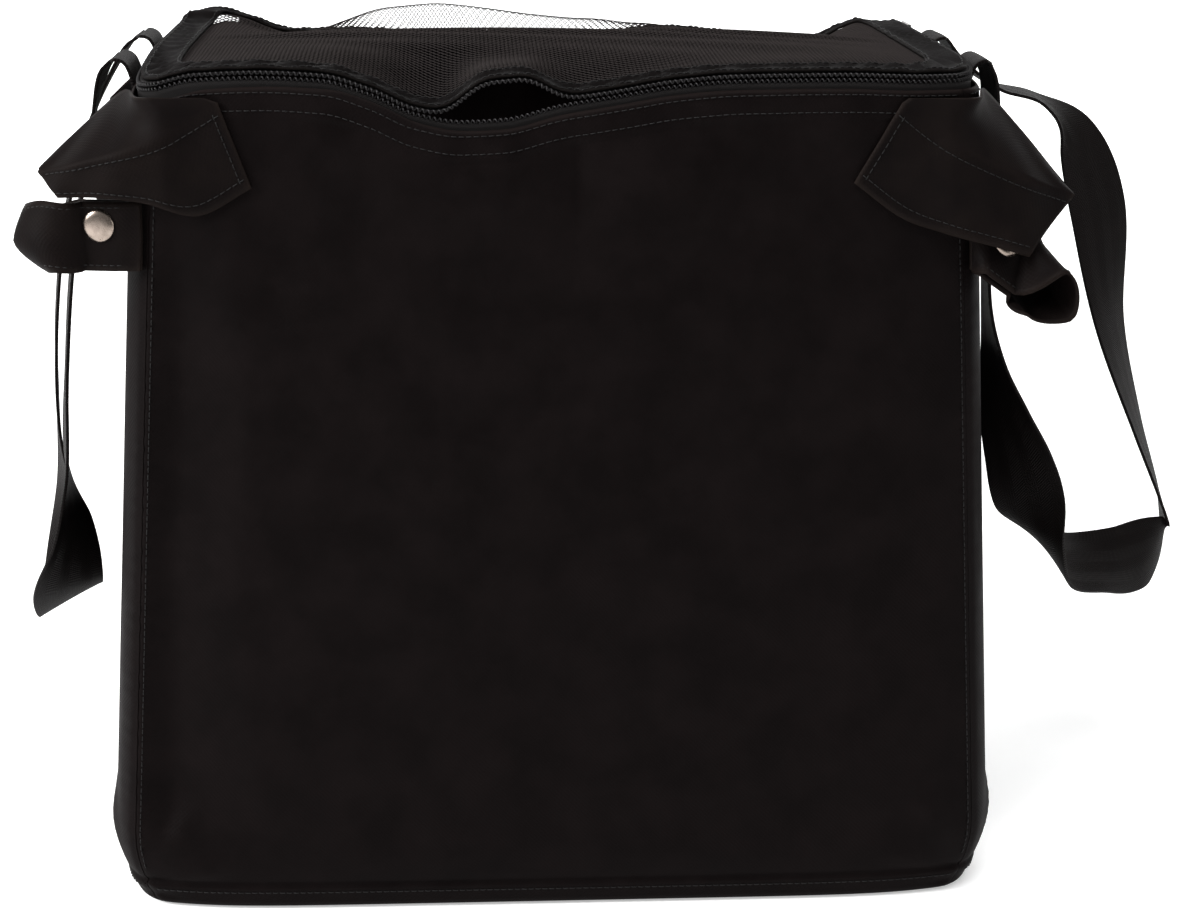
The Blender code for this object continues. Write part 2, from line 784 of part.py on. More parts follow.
STRAPS = {
    "front_left": {
        "below_hood": 0.0005, "back": radians(16), "reach": 0.064, "open": 0.0075,
        "tilt": radians(0), "droop": radians(5), "root_twist": radians(0),
        "tip_twist": radians(16), "trim": (0.29, 0.08), "twist_rate": 1.6,
    },
    "front_right": {
        "below_hood": -0.0160, "back": radians(5), "reach": 0.053, "open": 0.0110,
        "tilt": radians(32), "droop": radians(8), "root_twist": radians(-30),
        "tip_twist": radians(-80), "trim": (0.0, 0.10), "twist_rate": 2.5,
    },
    "back_left": {
        "below_hood": 0.0070, "back": radians(10), "reach": 0.060, "open": 0.0110,
        "tilt": radians(0), "droop": radians(14), "root_twist": radians(0),
        "tip_twist": radians(38), "trim": (0.10, 0.0), "twist_rate": 1.6,
    },
    "back_right": {
        "below_hood": 0.0050, "back": radians(18), "reach": 0.063, "open": 0.0090,
        "tilt": radians(0), "droop": radians(9), "root_twist": radians(0),
        "tip_twist": radians(-14), "trim": (0.0, 0.08), "twist_rate": 1.6,
    },
}
SNAP_NEAR = SNAP_X - SNAP_FLAT
SNAP_FAR = SNAP_X + SNAP_FLAT


def eased(share):
    share = min(1.0, max(0.0, share))
    return share * share * (3 - 2 * share)


def strap_half(shape, x):
    """Half the spread of a strap's two layers at a distance from its seam."""
    flat = SNAP_HALF_SPACE + STRAP_THICKNESS / 2
    if x <= SNAP_NEAR:
        return STRAP_LAYERS + (flat - STRAP_LAYERS) * eased(x / SNAP_NEAR)
    if x <= SNAP_FAR:
        return flat
    share = min(1.0, (x - SNAP_FAR) / (shape["reach"] - SNAP_FAR))
    return flat * (1 - share**2) ** 0.5 + shape["open"] * max(0.0, sin(pi * share**0.8)) ** 0.8


def strap_path(shape):
    """The strip's centreline seen along its width: out, round the tip, and back."""
    reach = shape["reach"]
    turn = [SNAP_FAR + (reach - SNAP_FAR) * sin(pi / 2 * s) for s in np.linspace(0, 1, 12)[1:-1]]
    run = [STRAP_START, 0.004, 0.008, SNAP_NEAR, SNAP_X, SNAP_FAR] + turn
    out = [(x, strap_half(shape, x)) for x in run]
    return out + [(reach, 0.0)] + [(x, -y) for x, y in reversed(out)]


def strap_height(corner):
    """A strap's middle: its upper edge is seamed on a distance below its hood's lower edge."""
    hood_low = RIM_HEIGHT - hood_shape(corner)["lower"][2][2]
    return hood_low - STRAPS[corner]["below_hood"] - STRAP_WIDTH / 2


def strap_frame(corner, x):
    """A strap's middle, and its run, thickness, half width and root, at a distance out."""
    shape = STRAPS[corner]
    sign_x, sign_y = CORNERS[corner]
    z = strap_height(corner)
    reach_x = seam_x(z) + STRAP_ROOT_OUT
    reach_y = seam_y(z) + STRAP_ROOT_OUT
    root = Vector((sign_x * reach_x, sign_y * reach_y, z))
    level = Vector((sign_x * cos(shape["back"]), -sign_y * sin(shape["back"]), 0.0))
    face = Vector((-level.y, level.x, 0.0)) * (sign_x * sign_y)
    share = x / shape["reach"]
    slope = shape["tilt"] + shape["droop"] * share
    upright = slope / 2 * eased(x / SNAP_NEAR)
    run = level * cos(slope) - Vector((0, 0, 1)) * sin(slope)
    up = Vector((0, 0, 1)) * cos(upright) + level * sin(upright)
    turn = shape["root_twist"] * eased(x / SNAP_NEAR)
    turn += (shape["tip_twist"] - shape["root_twist"]) * eased(
        shape["twist_rate"] * (x - SNAP_FAR) / (shape["reach"] - SNAP_FAR)
    )
    spin = Matrix.Rotation(turn, 3, run)
    lower = x * (sin(shape["tilt"]) + sin(shape["droop"] * min(share, 1.0) * 0.9))
    place = root + level * (x * cos(shape["tilt"])) - Vector((0, 0, lower))
    half_width = STRAP_WIDTH / 2 / cos(slope - upright)
    return place, run, spin @ face, (spin @ up) * half_width, root


def trimmed(shape, x, u):
    """How far out a strap's loop gets at a place across its width: its fold is askew."""
    if x <= SNAP_FAR:
        return x
    low, high = shape["trim"]
    share = low * abs(min(u, 0.0)) ** 1.5 + high * max(u, 0.0) ** 1.5
    cut_off = shape["reach"] * share
    return SNAP_FAR + (x - SNAP_FAR) * (1 - cut_off / (shape["reach"] - SNAP_FAR))


def snap_strap(corner):
    path = strap_path(STRAPS[corner])
    last = len(path) - 1
    hinge = pivot("strap_hinge_" + corner, strap_frame(corner, 0.0)[4])
    middle = strap_frame(corner, SNAP_X)

    def place(u, v):
        x, y = path[round((v + 1) / 2 * last)]
        x = trimmed(STRAPS[corner], x, u)
        origin, run, face, up, _ = strap_frame(corner, x)
        if SNAP_NEAR <= x <= SNAP_FAR:
            origin = middle[0] + middle[1] * (x - SNAP_X)
            face, up = middle[2], middle[3]
        return origin + face * y + up * u

    strap = sheet(
        "snap_strap_" + corner, place, 2, last, STRAP_THICKNESS, (COATED, 0.45), hinge
    )

    origin, run, face, up, _ = middle
    up = up.normalized()
    origin = origin + up * SNAP_ABOVE_CENTRE
    across = up.cross(face)
    frame = Matrix.Translation(origin) @ Matrix((across, up, face)).transposed().to_4x4()
    surface = SNAP_HALF_SPACE + STRAP_THICKNESS + GAP
    inside = SNAP_HALF_SPACE - GAP
    barrel, hole = SNAP_BARREL_RADIUS, SNAP_HOLE_RADIUS
    cap_top = surface + SNAP_CAP_HEIGHT
    radius = SNAP_CAP_RADIUS
    cap = [
        (0.0, cap_top),
        (radius * 0.62, cap_top - 0.0002),
        (radius * 0.92, cap_top - 0.0007),
        (radius, cap_top - 0.0013),
        (radius * 0.93, surface),
        (barrel, surface),
        (barrel, GAP * 3),
        (0.0, GAP * 3),
    ]
    socket = [
        (hole, inside),
        (SNAP_SOCKET_RADIUS * 0.9, inside),
        (SNAP_SOCKET_RADIUS, inside - 0.0005),
        (SNAP_SOCKET_RADIUS * 0.95, GAP / 2),
        (SNAP_SOCKET_BORE, GAP / 2),
        (SNAP_SOCKET_BORE, GAP * 2),
        (hole, GAP * 3),
    ]
    stud = [
        (hole, GAP),
        (SNAP_KNOB_RADIUS, GAP),
        (SNAP_KNOB_RADIUS, -GAP * 2),
        (SNAP_STUD_RADIUS * 0.95, -GAP),
        (SNAP_STUD_RADIUS, -inside + 0.0003),
        (SNAP_STUD_RADIUS * 0.95, -inside),
        (hole, -inside),
    ]
    post = [
        (0.0, -GAP / 2),
        (barrel, -GAP / 2),
        (barrel, -surface),
        (SNAP_POST_RADIUS, -surface),
        (SNAP_POST_RADIUS, -surface - SNAP_POST_HEIGHT * 0.6),
        (SNAP_POST_RADIUS * 0.85, -surface - SNAP_POST_HEIGHT),
        (0.0, -surface - SNAP_POST_HEIGHT),
    ]
    for kind, profile, shine in (
        ("cap", cap, 0.25),
        ("socket", socket, 0.3),
        ("stud", stud, 0.3),
        ("post", post, 0.3),
    ):
        name = "snap_" + kind + "_" + corner
        mesh = turned_mesh(name, profile, frame, SNAP_SIDES)
        add(name, mesh, (NICKEL, shine, 1.0), hinge)
    length = surface + SNAP_CAP_HEIGHT
    drill = [(0.0, length), (hole, length), (hole, -length), (0.0, -length)]
    cut(strap, turned_mesh("snap_hole_" + corner, drill, frame, SNAP_SIDES))


for corner_name in CORNERS:
    snap_strap(corner_name)


# Handles: a webbing loop on each side, whose ends are sewn flat up the side wall and stand
# out over it in a stiff fold. The loop swings at that fold.


def ribbon(name, points, widths, count, finish, parent=None):
    """A strip of webbing along points, its width turned to follow the given directions."""
    rows = path_rows([tuple(p) + tuple(w) for p, w in zip(points, widths)], count)
    centres = [Vector(row[:3]) for row in rows]
    turns = [Vector(row[3:]) for row in rows]

    def place(u, v):
        index = round((v + 1) / 2 * (count - 1))
        before = centres[max(index - 1, 0)]
        after = centres[min(index + 1, count - 1)]
        run = (after - before).normalized()
        width = turns[index] - run * turns[index].dot(run)
        return centres[index] + width.normalized() * (u * HANDLE_WIDTH / 2)

    return sheet(name, place, 2, count - 1, HANDLE_THICKNESS, finish, parent)


def side_out(z):
    return wall_point("right", HANDLE_LEG_Y / SEAM_Y, z).x


PIVOT_X = SEAM_X_TOP + SIDE_ROUND + HANDLE_PIVOT_OUT
PIVOT_Z = RIM_HEIGHT + HANDLE_PIVOT_ABOVE_RIM


def handle_root(name, sign_x, leg_y):
    """A handle's sewn end: flat on the side wall, then bent outward above the rim."""
    seat = GAP + HANDLE_THICKNESS / 2 + 0.0003
    high = RIM_HEIGHT - HANDLE_STITCHED_TO
    low = high - HANDLE_SEWN_LENGTH
    points = [(side_out(z) + seat, z) for z in np.linspace(low, high, 4)]
    points += [
        (PIVOT_X - 0.0092, PIVOT_Z - 0.0140),
        (PIVOT_X - 0.0078, PIVOT_Z - 0.0075),
        (PIVOT_X - 0.0058, PIVOT_Z - 0.0027),
        (PIVOT_X - 0.0030, PIVOT_Z - 0.0004),
        (PIVOT_X, PIVOT_Z),
    ]
    path = [(sign_x * x, leg_y, z) for x, z in points]
    widths = [(0, 1, 0)] * len(path)
    ribbon(name, path, widths, 18, (WEBBING, 0.75))


# The loops' own routes, from the front fold to the back one, each with its width's direction:
# (outward from the fold, along Y, below the fold), and (outward, along Y, up)
LEFT_LOOP = [
    ((0.0009, -0.052, 0.0008), (0.0, -1.0, 0.0)),
    ((0.0070, -0.052, 0.0090), (0.0, -1.0, 0.0)),
    ((0.0130, -0.052, 0.0330), (-0.1, -1.0, 0.0)),
    ((0.0255, -0.052, 0.0980), (-0.16, -1.0, 0.0)),
    ((0.0315, -0.052, 0.1540), (-0.16, -1.0, 0.0)),
    ((0.0345, -0.052, 0.2050), (-0.16, -1.0, 0.0)),
    ((0.0340, -0.050, 0.2400), (0.35, -0.95, 0.0)),
    ((0.0400, -0.034, 0.2740), (0.9, -0.45, -0.2)),
    ((0.0450, 0.002, 0.2920), (0.85, -0.1, -0.5)),
    ((0.0490, 0.034, 0.2800), (0.8, 0.5, -0.3)),
    ((0.0530, 0.052, 0.2440), (0.35, 0.9, 0.0)),
    ((0.0550, 0.056, 0.2050), (0.16, 1.0, 0.0)),
    ((0.0530, 0.056, 0.1540), (0.16, 1.0, 0.0)),
    ((0.0450, 0.055, 0.0980), (0.16, 1.0, 0.0)),
    ((0.0290, 0.053, 0.0460), (0.1, 1.0, 0.0)),
    ((0.0100, 0.052, 0.0100), (0.0, 1.0, 0.0)),
    ((0.0009, 0.052, 0.0008), (0.0, 1.0, 0.0)),
]
RIGHT_LOOP = [
    ((0.0009, -0.052, 0.0009), (0.0, -1.0, 0.0)),
    ((0.0055, -0.052, 0.0130), (0.0, -1.0, 0.0)),
    ((0.0068, -0.054, 0.0400), (0.0, -1.0, 0.0)),
    ((0.0070, -0.056, 0.0800), (-0.1, -1.0, 0.0)),
    ((0.0085, -0.058, 0.1200), (-0.1, -1.0, 0.0)),
    ((0.0130, -0.060, 0.1500), (0.1, -1.0, 0.0)),
    ((0.0195, -0.060, 0.1760), (0.5, -0.9, 0.0)),
    ((0.0290, -0.058, 0.2030), (0.8, -0.6, 0.0)),
    ((0.0360, -0.054, 0.2250), (0.9, -0.4, 0.0)),
    ((0.0440, -0.046, 0.2480), (0.5, -0.85, -0.1)),
    ((0.0610, -0.026, 0.2680), (-0.1, -0.95, -0.25)),
    ((0.0890, 0.008, 0.2820), (-0.1, -0.9, -0.4)),
    ((0.1190, 0.040, 0.2900), (-0.1, -0.6, -0.8)),
    ((0.1410, 0.058, 0.2840), (0.1, 0.5, -0.9)),
    ((0.1430, 0.063, 0.2680), (0.2, 1.0, -0.1)),
    ((0.1250, 0.064, 0.2180), (0.35, 0.95, 0.0)),
    ((0.1060, 0.063, 0.1600), (0.6, 0.8, 0.0)),
    ((0.0945, 0.061, 0.0960), (0.9, 0.45, 0.0)),
    ((0.0790, 0.059, 0.0560), (0.75, 0.65, -0.1)),
    ((0.0560, 0.056, 0.0350), (0.15, 1.0, 0.0)),
    ((0.0300, 0.053, 0.0270), (0.0, 1.0, 0.0)),
    ((0.0105, 0.052, 0.0120), (0.0, 1.0, 0.0)),
    ((0.0010, 0.052, 0.0009), (0.0, 1.0, 0.0)),
]


def handle(side, sign_x, route, count):
    hinge = pivot("handle_hinge_" + side, (sign_x * PIVOT_X, 0.0, PIVOT_Z))
    points = [(sign_x * (PIVOT_X + x), y, PIVOT_Z - z) for (x, y, z), _ in route]
    widths = [(sign_x * x, y, z) for _, (x, y, z) in route]
    ribbon("handle_" + side, points, widths, count, (WEBBING, 0.75), hinge)
    for place, leg_y in (("front", -HANDLE_LEG_Y), ("back", HANDLE_LEG_Y)):
        handle_root("handle_root_" + side + "_" + place, sign_x, leg_y)


handle("left", -1, LEFT_LOOP, 56)
handle("right", 1, RIGHT_LOOP, 60)

bpy.context.view_layer.update()
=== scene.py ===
import json
from math import cos, pi, radians, sin

import bmesh
import bpy
import numpy as np
from mathutils import Matrix, Vector

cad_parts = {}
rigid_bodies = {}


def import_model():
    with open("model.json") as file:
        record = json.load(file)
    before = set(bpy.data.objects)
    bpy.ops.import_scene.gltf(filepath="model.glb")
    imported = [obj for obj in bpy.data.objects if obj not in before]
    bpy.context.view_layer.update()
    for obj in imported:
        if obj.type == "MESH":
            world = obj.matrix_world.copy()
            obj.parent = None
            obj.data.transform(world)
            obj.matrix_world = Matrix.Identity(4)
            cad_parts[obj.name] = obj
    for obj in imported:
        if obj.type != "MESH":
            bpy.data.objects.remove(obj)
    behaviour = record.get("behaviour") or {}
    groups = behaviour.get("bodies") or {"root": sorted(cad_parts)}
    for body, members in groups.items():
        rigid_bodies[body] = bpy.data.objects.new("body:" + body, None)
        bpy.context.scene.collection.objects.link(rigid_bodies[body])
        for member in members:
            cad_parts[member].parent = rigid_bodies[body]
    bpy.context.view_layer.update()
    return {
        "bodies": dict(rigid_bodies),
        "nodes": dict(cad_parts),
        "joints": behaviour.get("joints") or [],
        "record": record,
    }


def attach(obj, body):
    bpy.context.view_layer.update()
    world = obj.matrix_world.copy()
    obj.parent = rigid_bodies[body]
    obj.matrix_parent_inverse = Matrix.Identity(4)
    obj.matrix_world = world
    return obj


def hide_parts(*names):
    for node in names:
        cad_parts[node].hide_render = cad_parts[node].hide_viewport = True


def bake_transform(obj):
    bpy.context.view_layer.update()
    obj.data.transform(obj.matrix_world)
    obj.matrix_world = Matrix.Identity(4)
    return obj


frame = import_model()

# The ball bag's walls: one shell of black polyester Oxford cloth, coated on the inside, sewn at
# four upright corner seams and to a turned-up base. The stiff base holds it square, while the
# walls above it sag, dent and crease between their seams.

RIM_HEIGHT = 0.407
SEAM_X_TOP = 0.185
SEAM_X_BOTTOM = 0.2107
SEAM_Y = 0.131
CORNER_ROUND = 0.009
SIDE_ROUND = 0.0125
FRONT_BULGE = 0.006
CORNER_PINCH = 0.013
FRONT_PINCH = 0.006
PINCH_HEIGHT = 0.042
CLOTH = 0.0012
HEM_BELOW_RIM = 0.0035
HEM_WIDTH = 0.014
HEM_STEP = 0.0007
STEP_RUN = 0.0012
ROLLED_EDGE = 0.0014
BASE_TURN_UP = 0.0135
BASE_EDGE = 0.0045
FOOT_Z = 0.0009
YARN_PITCH_MM = 0.55


def joined(*parts):
    """Coordinates put together as points, once they have one shape."""
    return np.stack(np.broadcast_arrays(*parts), -1)


def ramp(low, high, value):
    """0 below low, 1 above high, and smooth between."""
    share = np.clip((value - low) / (high - low), 0.0, 1.0)
    return share * share * (3 - 2 * share)


def hill(value, centre, width):
    return np.exp(-(((value - centre) / width) ** 2))


def through(value, knots):
    """A smooth line through (place, height) knots, which are given in millimetres."""
    places, heights = np.array(knots, float).T / 1000
    rise = np.diff(heights) / np.diff(places)
    slopes = np.zeros(len(places))
    same = rise[1:] * rise[:-1] > 0
    slopes[1:-1][same] = 2 / (1 / rise[1:][same] + 1 / rise[:-1][same])
    value = np.clip(value, places[0], places[-1])
    index = np.clip(np.searchsorted(places, value) - 1, 0, len(places) - 2)
    run = places[index + 1] - places[index]
    t = (value - places[index]) / run
    return (heights[index] * (1 + 2 * t) * (1 - t) ** 2 + heights[index + 1] * t * t * (3 - 2 * t) + run
        * slopes[index] * t * (1 - t) ** 2 + run * slopes[index + 1] * t * t * (t - 1))


def pinch(z):
    return np.maximum(0.0, 1.0 - z / PINCH_HEIGHT) ** 2


def seam_x(z):
    flare = (SEAM_X_BOTTOM - SEAM_X_TOP) * (1 - z / RIM_HEIGHT)
    return SEAM_X_TOP + flare - CORNER_PINCH * pinch(z)


def seam_y(z):
    return SEAM_Y - FRONT_PINCH * pinch(z)


def belly(z):
    return np.sin(pi * np.clip(z / RIM_HEIGHT, 0.0, 1.0)) ** 0.8


# How far the zipped rim lies below its height: the front sags left of its middle, the front left
# corner droops, and the back edge waves between its corners.
FRONT_DROOP = (
    (-200, 7.5), (-184, 4.5), (-165, -0.5), (-135, -2), (-108, -0.8), (-86, 5.5), (-66, 14.2),
    (-45, 17.7), (-26, 16.8), (0, 10.5), (26, 6.2), (52, 1.8), (80, -0.5), (130, -1.2), (170, 0),
    (200, 0),
)
BACK_DROOP = (
    (-200, 0), (-178, -4), (-160, 1), (-135, 8.5), (-100, 8), (-66, 11), (-22, 12), (12, 12.5),
    (36, 11), (67, 6.5), (102, 9), (125, 12), (150, 12.5), (166, 6), (178, 2), (190, 6), (200, 6),
)
# The stretch left unzipped: there the lid's edge stands up off the rim like a lip.
LIP_RISE = 0.0150
LIP_CENTRE_X = -0.0260
LIP_HALF_LENGTH = 0.0215


def edge_droop(x, y):
    """How far the zip line lies low at a place on the rim, for the bag and its lid alike."""
    front = through(x, FRONT_DROOP)
    back = through(x, BACK_DROOP)
    share = np.clip((y + SEAM_Y) / (2 * SEAM_Y), 0.0, 1.0)
    at_front = ramp(0.45, 0.0, share)
    at_back = ramp(0.80, 1.0, share)
    return front * at_front + back * at_back


def lip_rise(x, y):
    """How far the unzipped stretch of the lid's front edge stands up off the rim."""
    far = np.abs((x - LIP_CENTRE_X) / LIP_HALF_LENGTH)
    return LIP_RISE * np.exp(-(far**3)) * ramp(-0.30, -0.95, y / SEAM_Y)


def rim_at(x, y):
    return RIM_HEIGHT - edge_droop(x, y)


# Dents and creases, each a soft ridge on one wall: centre along the wall and up it, its length
# and width, the turn of its length from level, and how far it stands out, in millimetres
FRONT_FOLDS = (
    (6, 368, 66, 4, 92, -3.0), (-30, 358, 62, 26, 12, 3.4), (48, 362, 64, 24, -14, 4.0),
    (92, 352, 46, 20, 28, -1.6), (-86, 374, 60, 14, -20, 1.8), (-150, 388, 40, 10, 18, 1.6),
    (132, 386, 52, 10, -12, 1.4), (-128, 330, 52, 13, 62, -1.6), (140, 322, 46, 12, 118, -1.7),
    (60, 396, 80, 6, -3, 1.2), (-96, 396, 50, 6, -12, 1.3), (-184, 250, 130, 11, 90, 1.2),
    (-60, 210, 110, 40, 74, 1.1), (70, 240, 150, 52, 100, -1.4), (20, 110, 120, 46, 8, -1.3),
    (150, 190, 90, 24, 84, 1.2), (-110, 90, 70, 22, 30, 0.9), (120, 84, 80, 22, -24, 1.0),
    (-186, 40, 34, 5, 52, 2.6), (-172, 22, 30, 4, 18, 1.8), (186, 44, 42, 6, 122, 2.8),
    (172, 24, 34, 5, -22, 1.6), (-60, 30, 90, 7, 4, 0.8), (70, 28, 100, 7, -3, 0.8),
    (30, 300, 40, 9, 52, 0.9), (-52, 296, 36, 9, 128, 0.8),
)
BACK_FOLDS = (
    (-6, 368, 58, 6, 88, -2.0), (44, 356, 66, 26, -16, 2.4), (-62, 352, 60, 24, 18, 2.2),
    (130, 372, 56, 10, -24, 1.9), (-128, 368, 60, 11, 26, 2.0), (0, 214, 150, 56, 12, -1.6),
    (-110, 150, 100, 30, 62, 1.3), (116, 168, 104, 30, 112, 1.3), (-186, 44, 40, 6, 58, 2.6),
    (186, 42, 40, 6, 122, 2.5), (30, 60, 120, 20, 4, 1.0),
)
SIDE_FOLDS = (
    (0, 352, 80, 18, 6, -1.8), (-66, 300, 90, 12, 70, 1.6), (64, 292, 92, 12, 108, 1.5),
    (0, 205, 96, 36, 82, -1.7), (34, 118, 84, 20, 30, 1.4), (-46, 108, 76, 18, 148, 1.3),
    (-104, 40, 36, 6, 56, 2.2), (104, 40, 36, 6, 124, 2.2), (0, 46, 96, 10, 4, 0.9),
)
FOLDS = {"front": FRONT_FOLDS, "back": BACK_FOLDS, "left": SIDE_FOLDS, "right": SIDE_FOLDS}
LEFT_CREASE_X = -0.146
LEFT_CREASE_SLOPE = 0.22
CREASE_ROUND = 0.004
SEAM_GROOVE = 0.0012
SEAM_GROOVE_WIDTH = 0.0017
SEAM_STIFF_WIDTH = 0.020
PUCKER = 0.0005
PUCKER_PITCH = 0.0085
PUCKER_BEAT = 0.0571
PUCKER_REACH = 0.006


def folds(side, w, z):
    """How far a wall's dents stand out at w along it."""
    out = np.zeros(np.broadcast(w, z).shape)
    for centre, height, length, width, turn, rise in FOLDS[side]:
        a, b = w - centre / 1000, z - height / 1000
        run = a * cos(radians(turn)) + b * sin(radians(turn))
        across = b * cos(radians(turn)) - a * sin(radians(turn))
        far = (run / (length / 2000)) ** 2 + np.abs(across / (width / 1000)) ** 1.7
        out += rise / 1000 * np.exp(-far)
    return out


LONG_SIDES = ("front", "back")
OUTWARD = {"front": -1, "back": 1, "left": -1, "right": 1}


def wall_length(side, z):
    """Half a wall's length at a height, seam to seam."""
    return seam_x(z) if side in LONG_SIDES else seam_y(z)


def wall_frame(side, t, z, inset=0.0):
    """The plain wall: (x, y) at t from -1 to 1 along it."""
    t, z = np.broadcast_arrays(np.asarray(t, float), np.asarray(z, float))
    half_x, half_y = seam_x(z) - inset, seam_y(z) - inset
    if side in LONG_SIDES:
        out = half_y + CORNER_ROUND * (1 - np.abs(t) ** 8)
        out = out + FRONT_BULGE * belly(z) * (1 - t * t)
        return t * half_x, out * OUTWARD[side]
    out = half_x + SIDE_ROUND * (1 - np.abs(t) ** 10)
    return out * OUTWARD[side], t * half_y


def wall_skin(side, t, z):
    """A wall's outer face with its hem, base band, seam grooves, dents and creases."""
    t, z = np.broadcast_arrays(np.asarray(t, float), np.asarray(z, float))
    x, y = wall_frame(side, t, z)
    length = wall_length(side, z)
    w = t * length
    from_seam = length - np.abs(w)
    body = ramp(0.0, SEAM_STIFF_WIDTH, from_seam)
    top = rim_at(x, y) - HEM_BELOW_RIM
    out = folds(side, w, z) * body * ramp(0.004, 0.018, z) * (1 - 0.75 * ramp(top - 0.020, top, z))
    ripple = np.sin(2 * pi * z / PUCKER_PITCH) * np.sin(2 * pi * z / PUCKER_BEAT + 0.7)
    out += PUCKER * ripple * hill(from_seam, PUCKER_REACH, PUCKER_REACH)
    out -= SEAM_GROOVE * hill(from_seam, 0.0, SEAM_GROOVE_WIDTH)
    if side == "front":
        crease = np.maximum(0.0, LEFT_CREASE_X + 0.003 * np.sin(z * 31) - w)
        crease = np.sqrt(crease**2 + CREASE_ROUND**2) - CREASE_ROUND
        out -= LEFT_CREASE_SLOPE * crease * body * ramp(0.02, 0.07, z) * ramp(0.37, 0.30, z)
    hem = ramp(top - HEM_WIDTH, top - HEM_WIDTH + STEP_RUN, z)
    hem_wave = 0.0004 * np.sin(w * 210) * hill(z, top - HEM_WIDTH * 0.5, 0.006)
    out += HEM_STEP * hem + hem_wave * body
    out -= 0.0010 * ramp(top - ROLLED_EDGE, top, z)
    band = ramp(BASE_TURN_UP, BASE_TURN_UP - STEP_RUN, z)
    out += 0.0008 * band - 0.0009 * hill(z, BASE_TURN_UP + 0.0014, 0.0011)
    under = np.clip((BASE_EDGE - z) / BASE_EDGE, 0.0, 1.0)
    out -= BASE_EDGE * (1 - np.sqrt(np.maximum(0.0, 1 - under**2)))
    if side in LONG_SIDES:
        return joined(x, y + out * OUTWARD[side], z)
    return joined(x + out * OUTWARD[side], y, z)


def sheet_mesh(name, points, uv, loop=False, end=None):
    """A mesh over rows and columns of points. Its UVs are the cloth's own millimetres; loop
    joins the last column to the first, and end closes the last row with a point."""
    rows, columns = points.shape[:2]
    index = np.arange(rows * columns).reshape(rows, columns)
    across = np.arange(columns if loop else columns - 1)
    i, j = np.meshgrid(np.arange(rows - 1), across, indexing="ij")
    i, j = i.ravel(), j.ravel()
    after = (j + 1) % columns
    faces = joined(index[i, j], index[i, after], index[i + 1, after], index[i + 1, j])
    corner = [uv[i, j], uv[i, j + 1], uv[i + 1, j + 1], uv[i + 1, j]]
    spots = np.stack(corner, 1).reshape(-1, 2)
    vertices = points.reshape(-1, 3).tolist()
    faces = faces.tolist()
    if end is not None:
        vertices.append(end)
        last = index[-1].tolist()
        faces += [[a, b, len(vertices) - 1] for a, b in zip(last, last[1:] + last[:1])]
        middle = [1000 * end[0], 1000 * end[1]]
        fan = [[uv[-1, k], uv[-1, k + 1], middle] for k in range(columns)]
        spots = np.concatenate([spots, np.array(fan, float).reshape(-1, 2)])
    mesh = bpy.data.meshes.new(name)
    mesh.from_pydata(vertices, [], faces)
    layer = mesh.uv_layers.new(name="cloth")
    layer.data.foreach_set("uv", spots.astype(np.float32).ravel())
    mesh.shade_smooth()
    return mesh


def placed(name, mesh, material):
    """Puts a mesh in the scene with its material."""
    obj = bpy.data.objects.new(name, mesh)
    bpy.context.scene.collection.objects.link(obj)
    mesh.materials.append(material)
    return obj


def piece(name, mesh, material, body, replaced=()):
    """Puts a mesh in the scene on its body, with its material, and hides the parts that it replaces."""
    obj = placed(name, mesh, material)
    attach(obj, body)
    if replaced:
        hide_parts(*replaced)
    return obj


def thicken(obj, thickness, offset=0.0, rounded=0.0):
    """Gives cloth its thickness, with rounded edges where they show."""
    solid = obj.modifiers.new("thickness", "SOLIDIFY")
    solid.thickness = thickness
    solid.offset = offset
    if rounded:
        bevel = obj.modifiers.new("edge", "BEVEL")
        bevel.width = rounded
        bevel.segments = 2
        bevel.limit_method = "ANGLE"
        bevel.angle_limit = radians(50)
    return obj


def linear(code):
    """An sRGB hex value as linear RGBA."""
    values = [int(code[k : k + 2], 16) / 255 for k in (1, 3, 5)]
    return [v / 12.92 if v <= 0.04045 else ((v + 0.055) / 1.055) ** 2.4 for v in values] + [1.0]


def node(tree, kind, links=(), feeds=None, **settings):
    """Adds a node. Links are (input, source or value), where a node as source means its first
    output; feeds is a shader's socket that its own first output goes to."""
    made = tree.nodes.new(kind)
    for key, value in settings.items():
        setattr(made, key, value)
    if feeds:
        tree.links.new([out for out in made.outputs if out.enabled][0], feeds)
    for target, source in links:
        if isinstance(source, bpy.types.Node):
            source = [out for out in source.outputs if out.enabled][0]
        if isinstance(source, bpy.types.NodeSocket):
            tree.links.new(source, made.inputs[target])
        else:
            made.inputs[target].default_value = source
    return made


MIX_A, MIX_B = 6, 7  # a Mix node's colour sockets


def finish(name, roughness, metallic=0.0, **sockets):
    """A new material with its tree and its principled shader."""
    made = bpy.data.materials.new(name)
    made.use_nodes = True
    tree = made.node_tree
    shader = tree.nodes["Principled BSDF"]
    shader.inputs["Roughness"].default_value = roughness
    shader.inputs["Metallic"].default_value = metallic
    for key, value in sockets.items():
        shader.inputs[key.replace("_", " ")].default_value = value
    return made, tree, shader


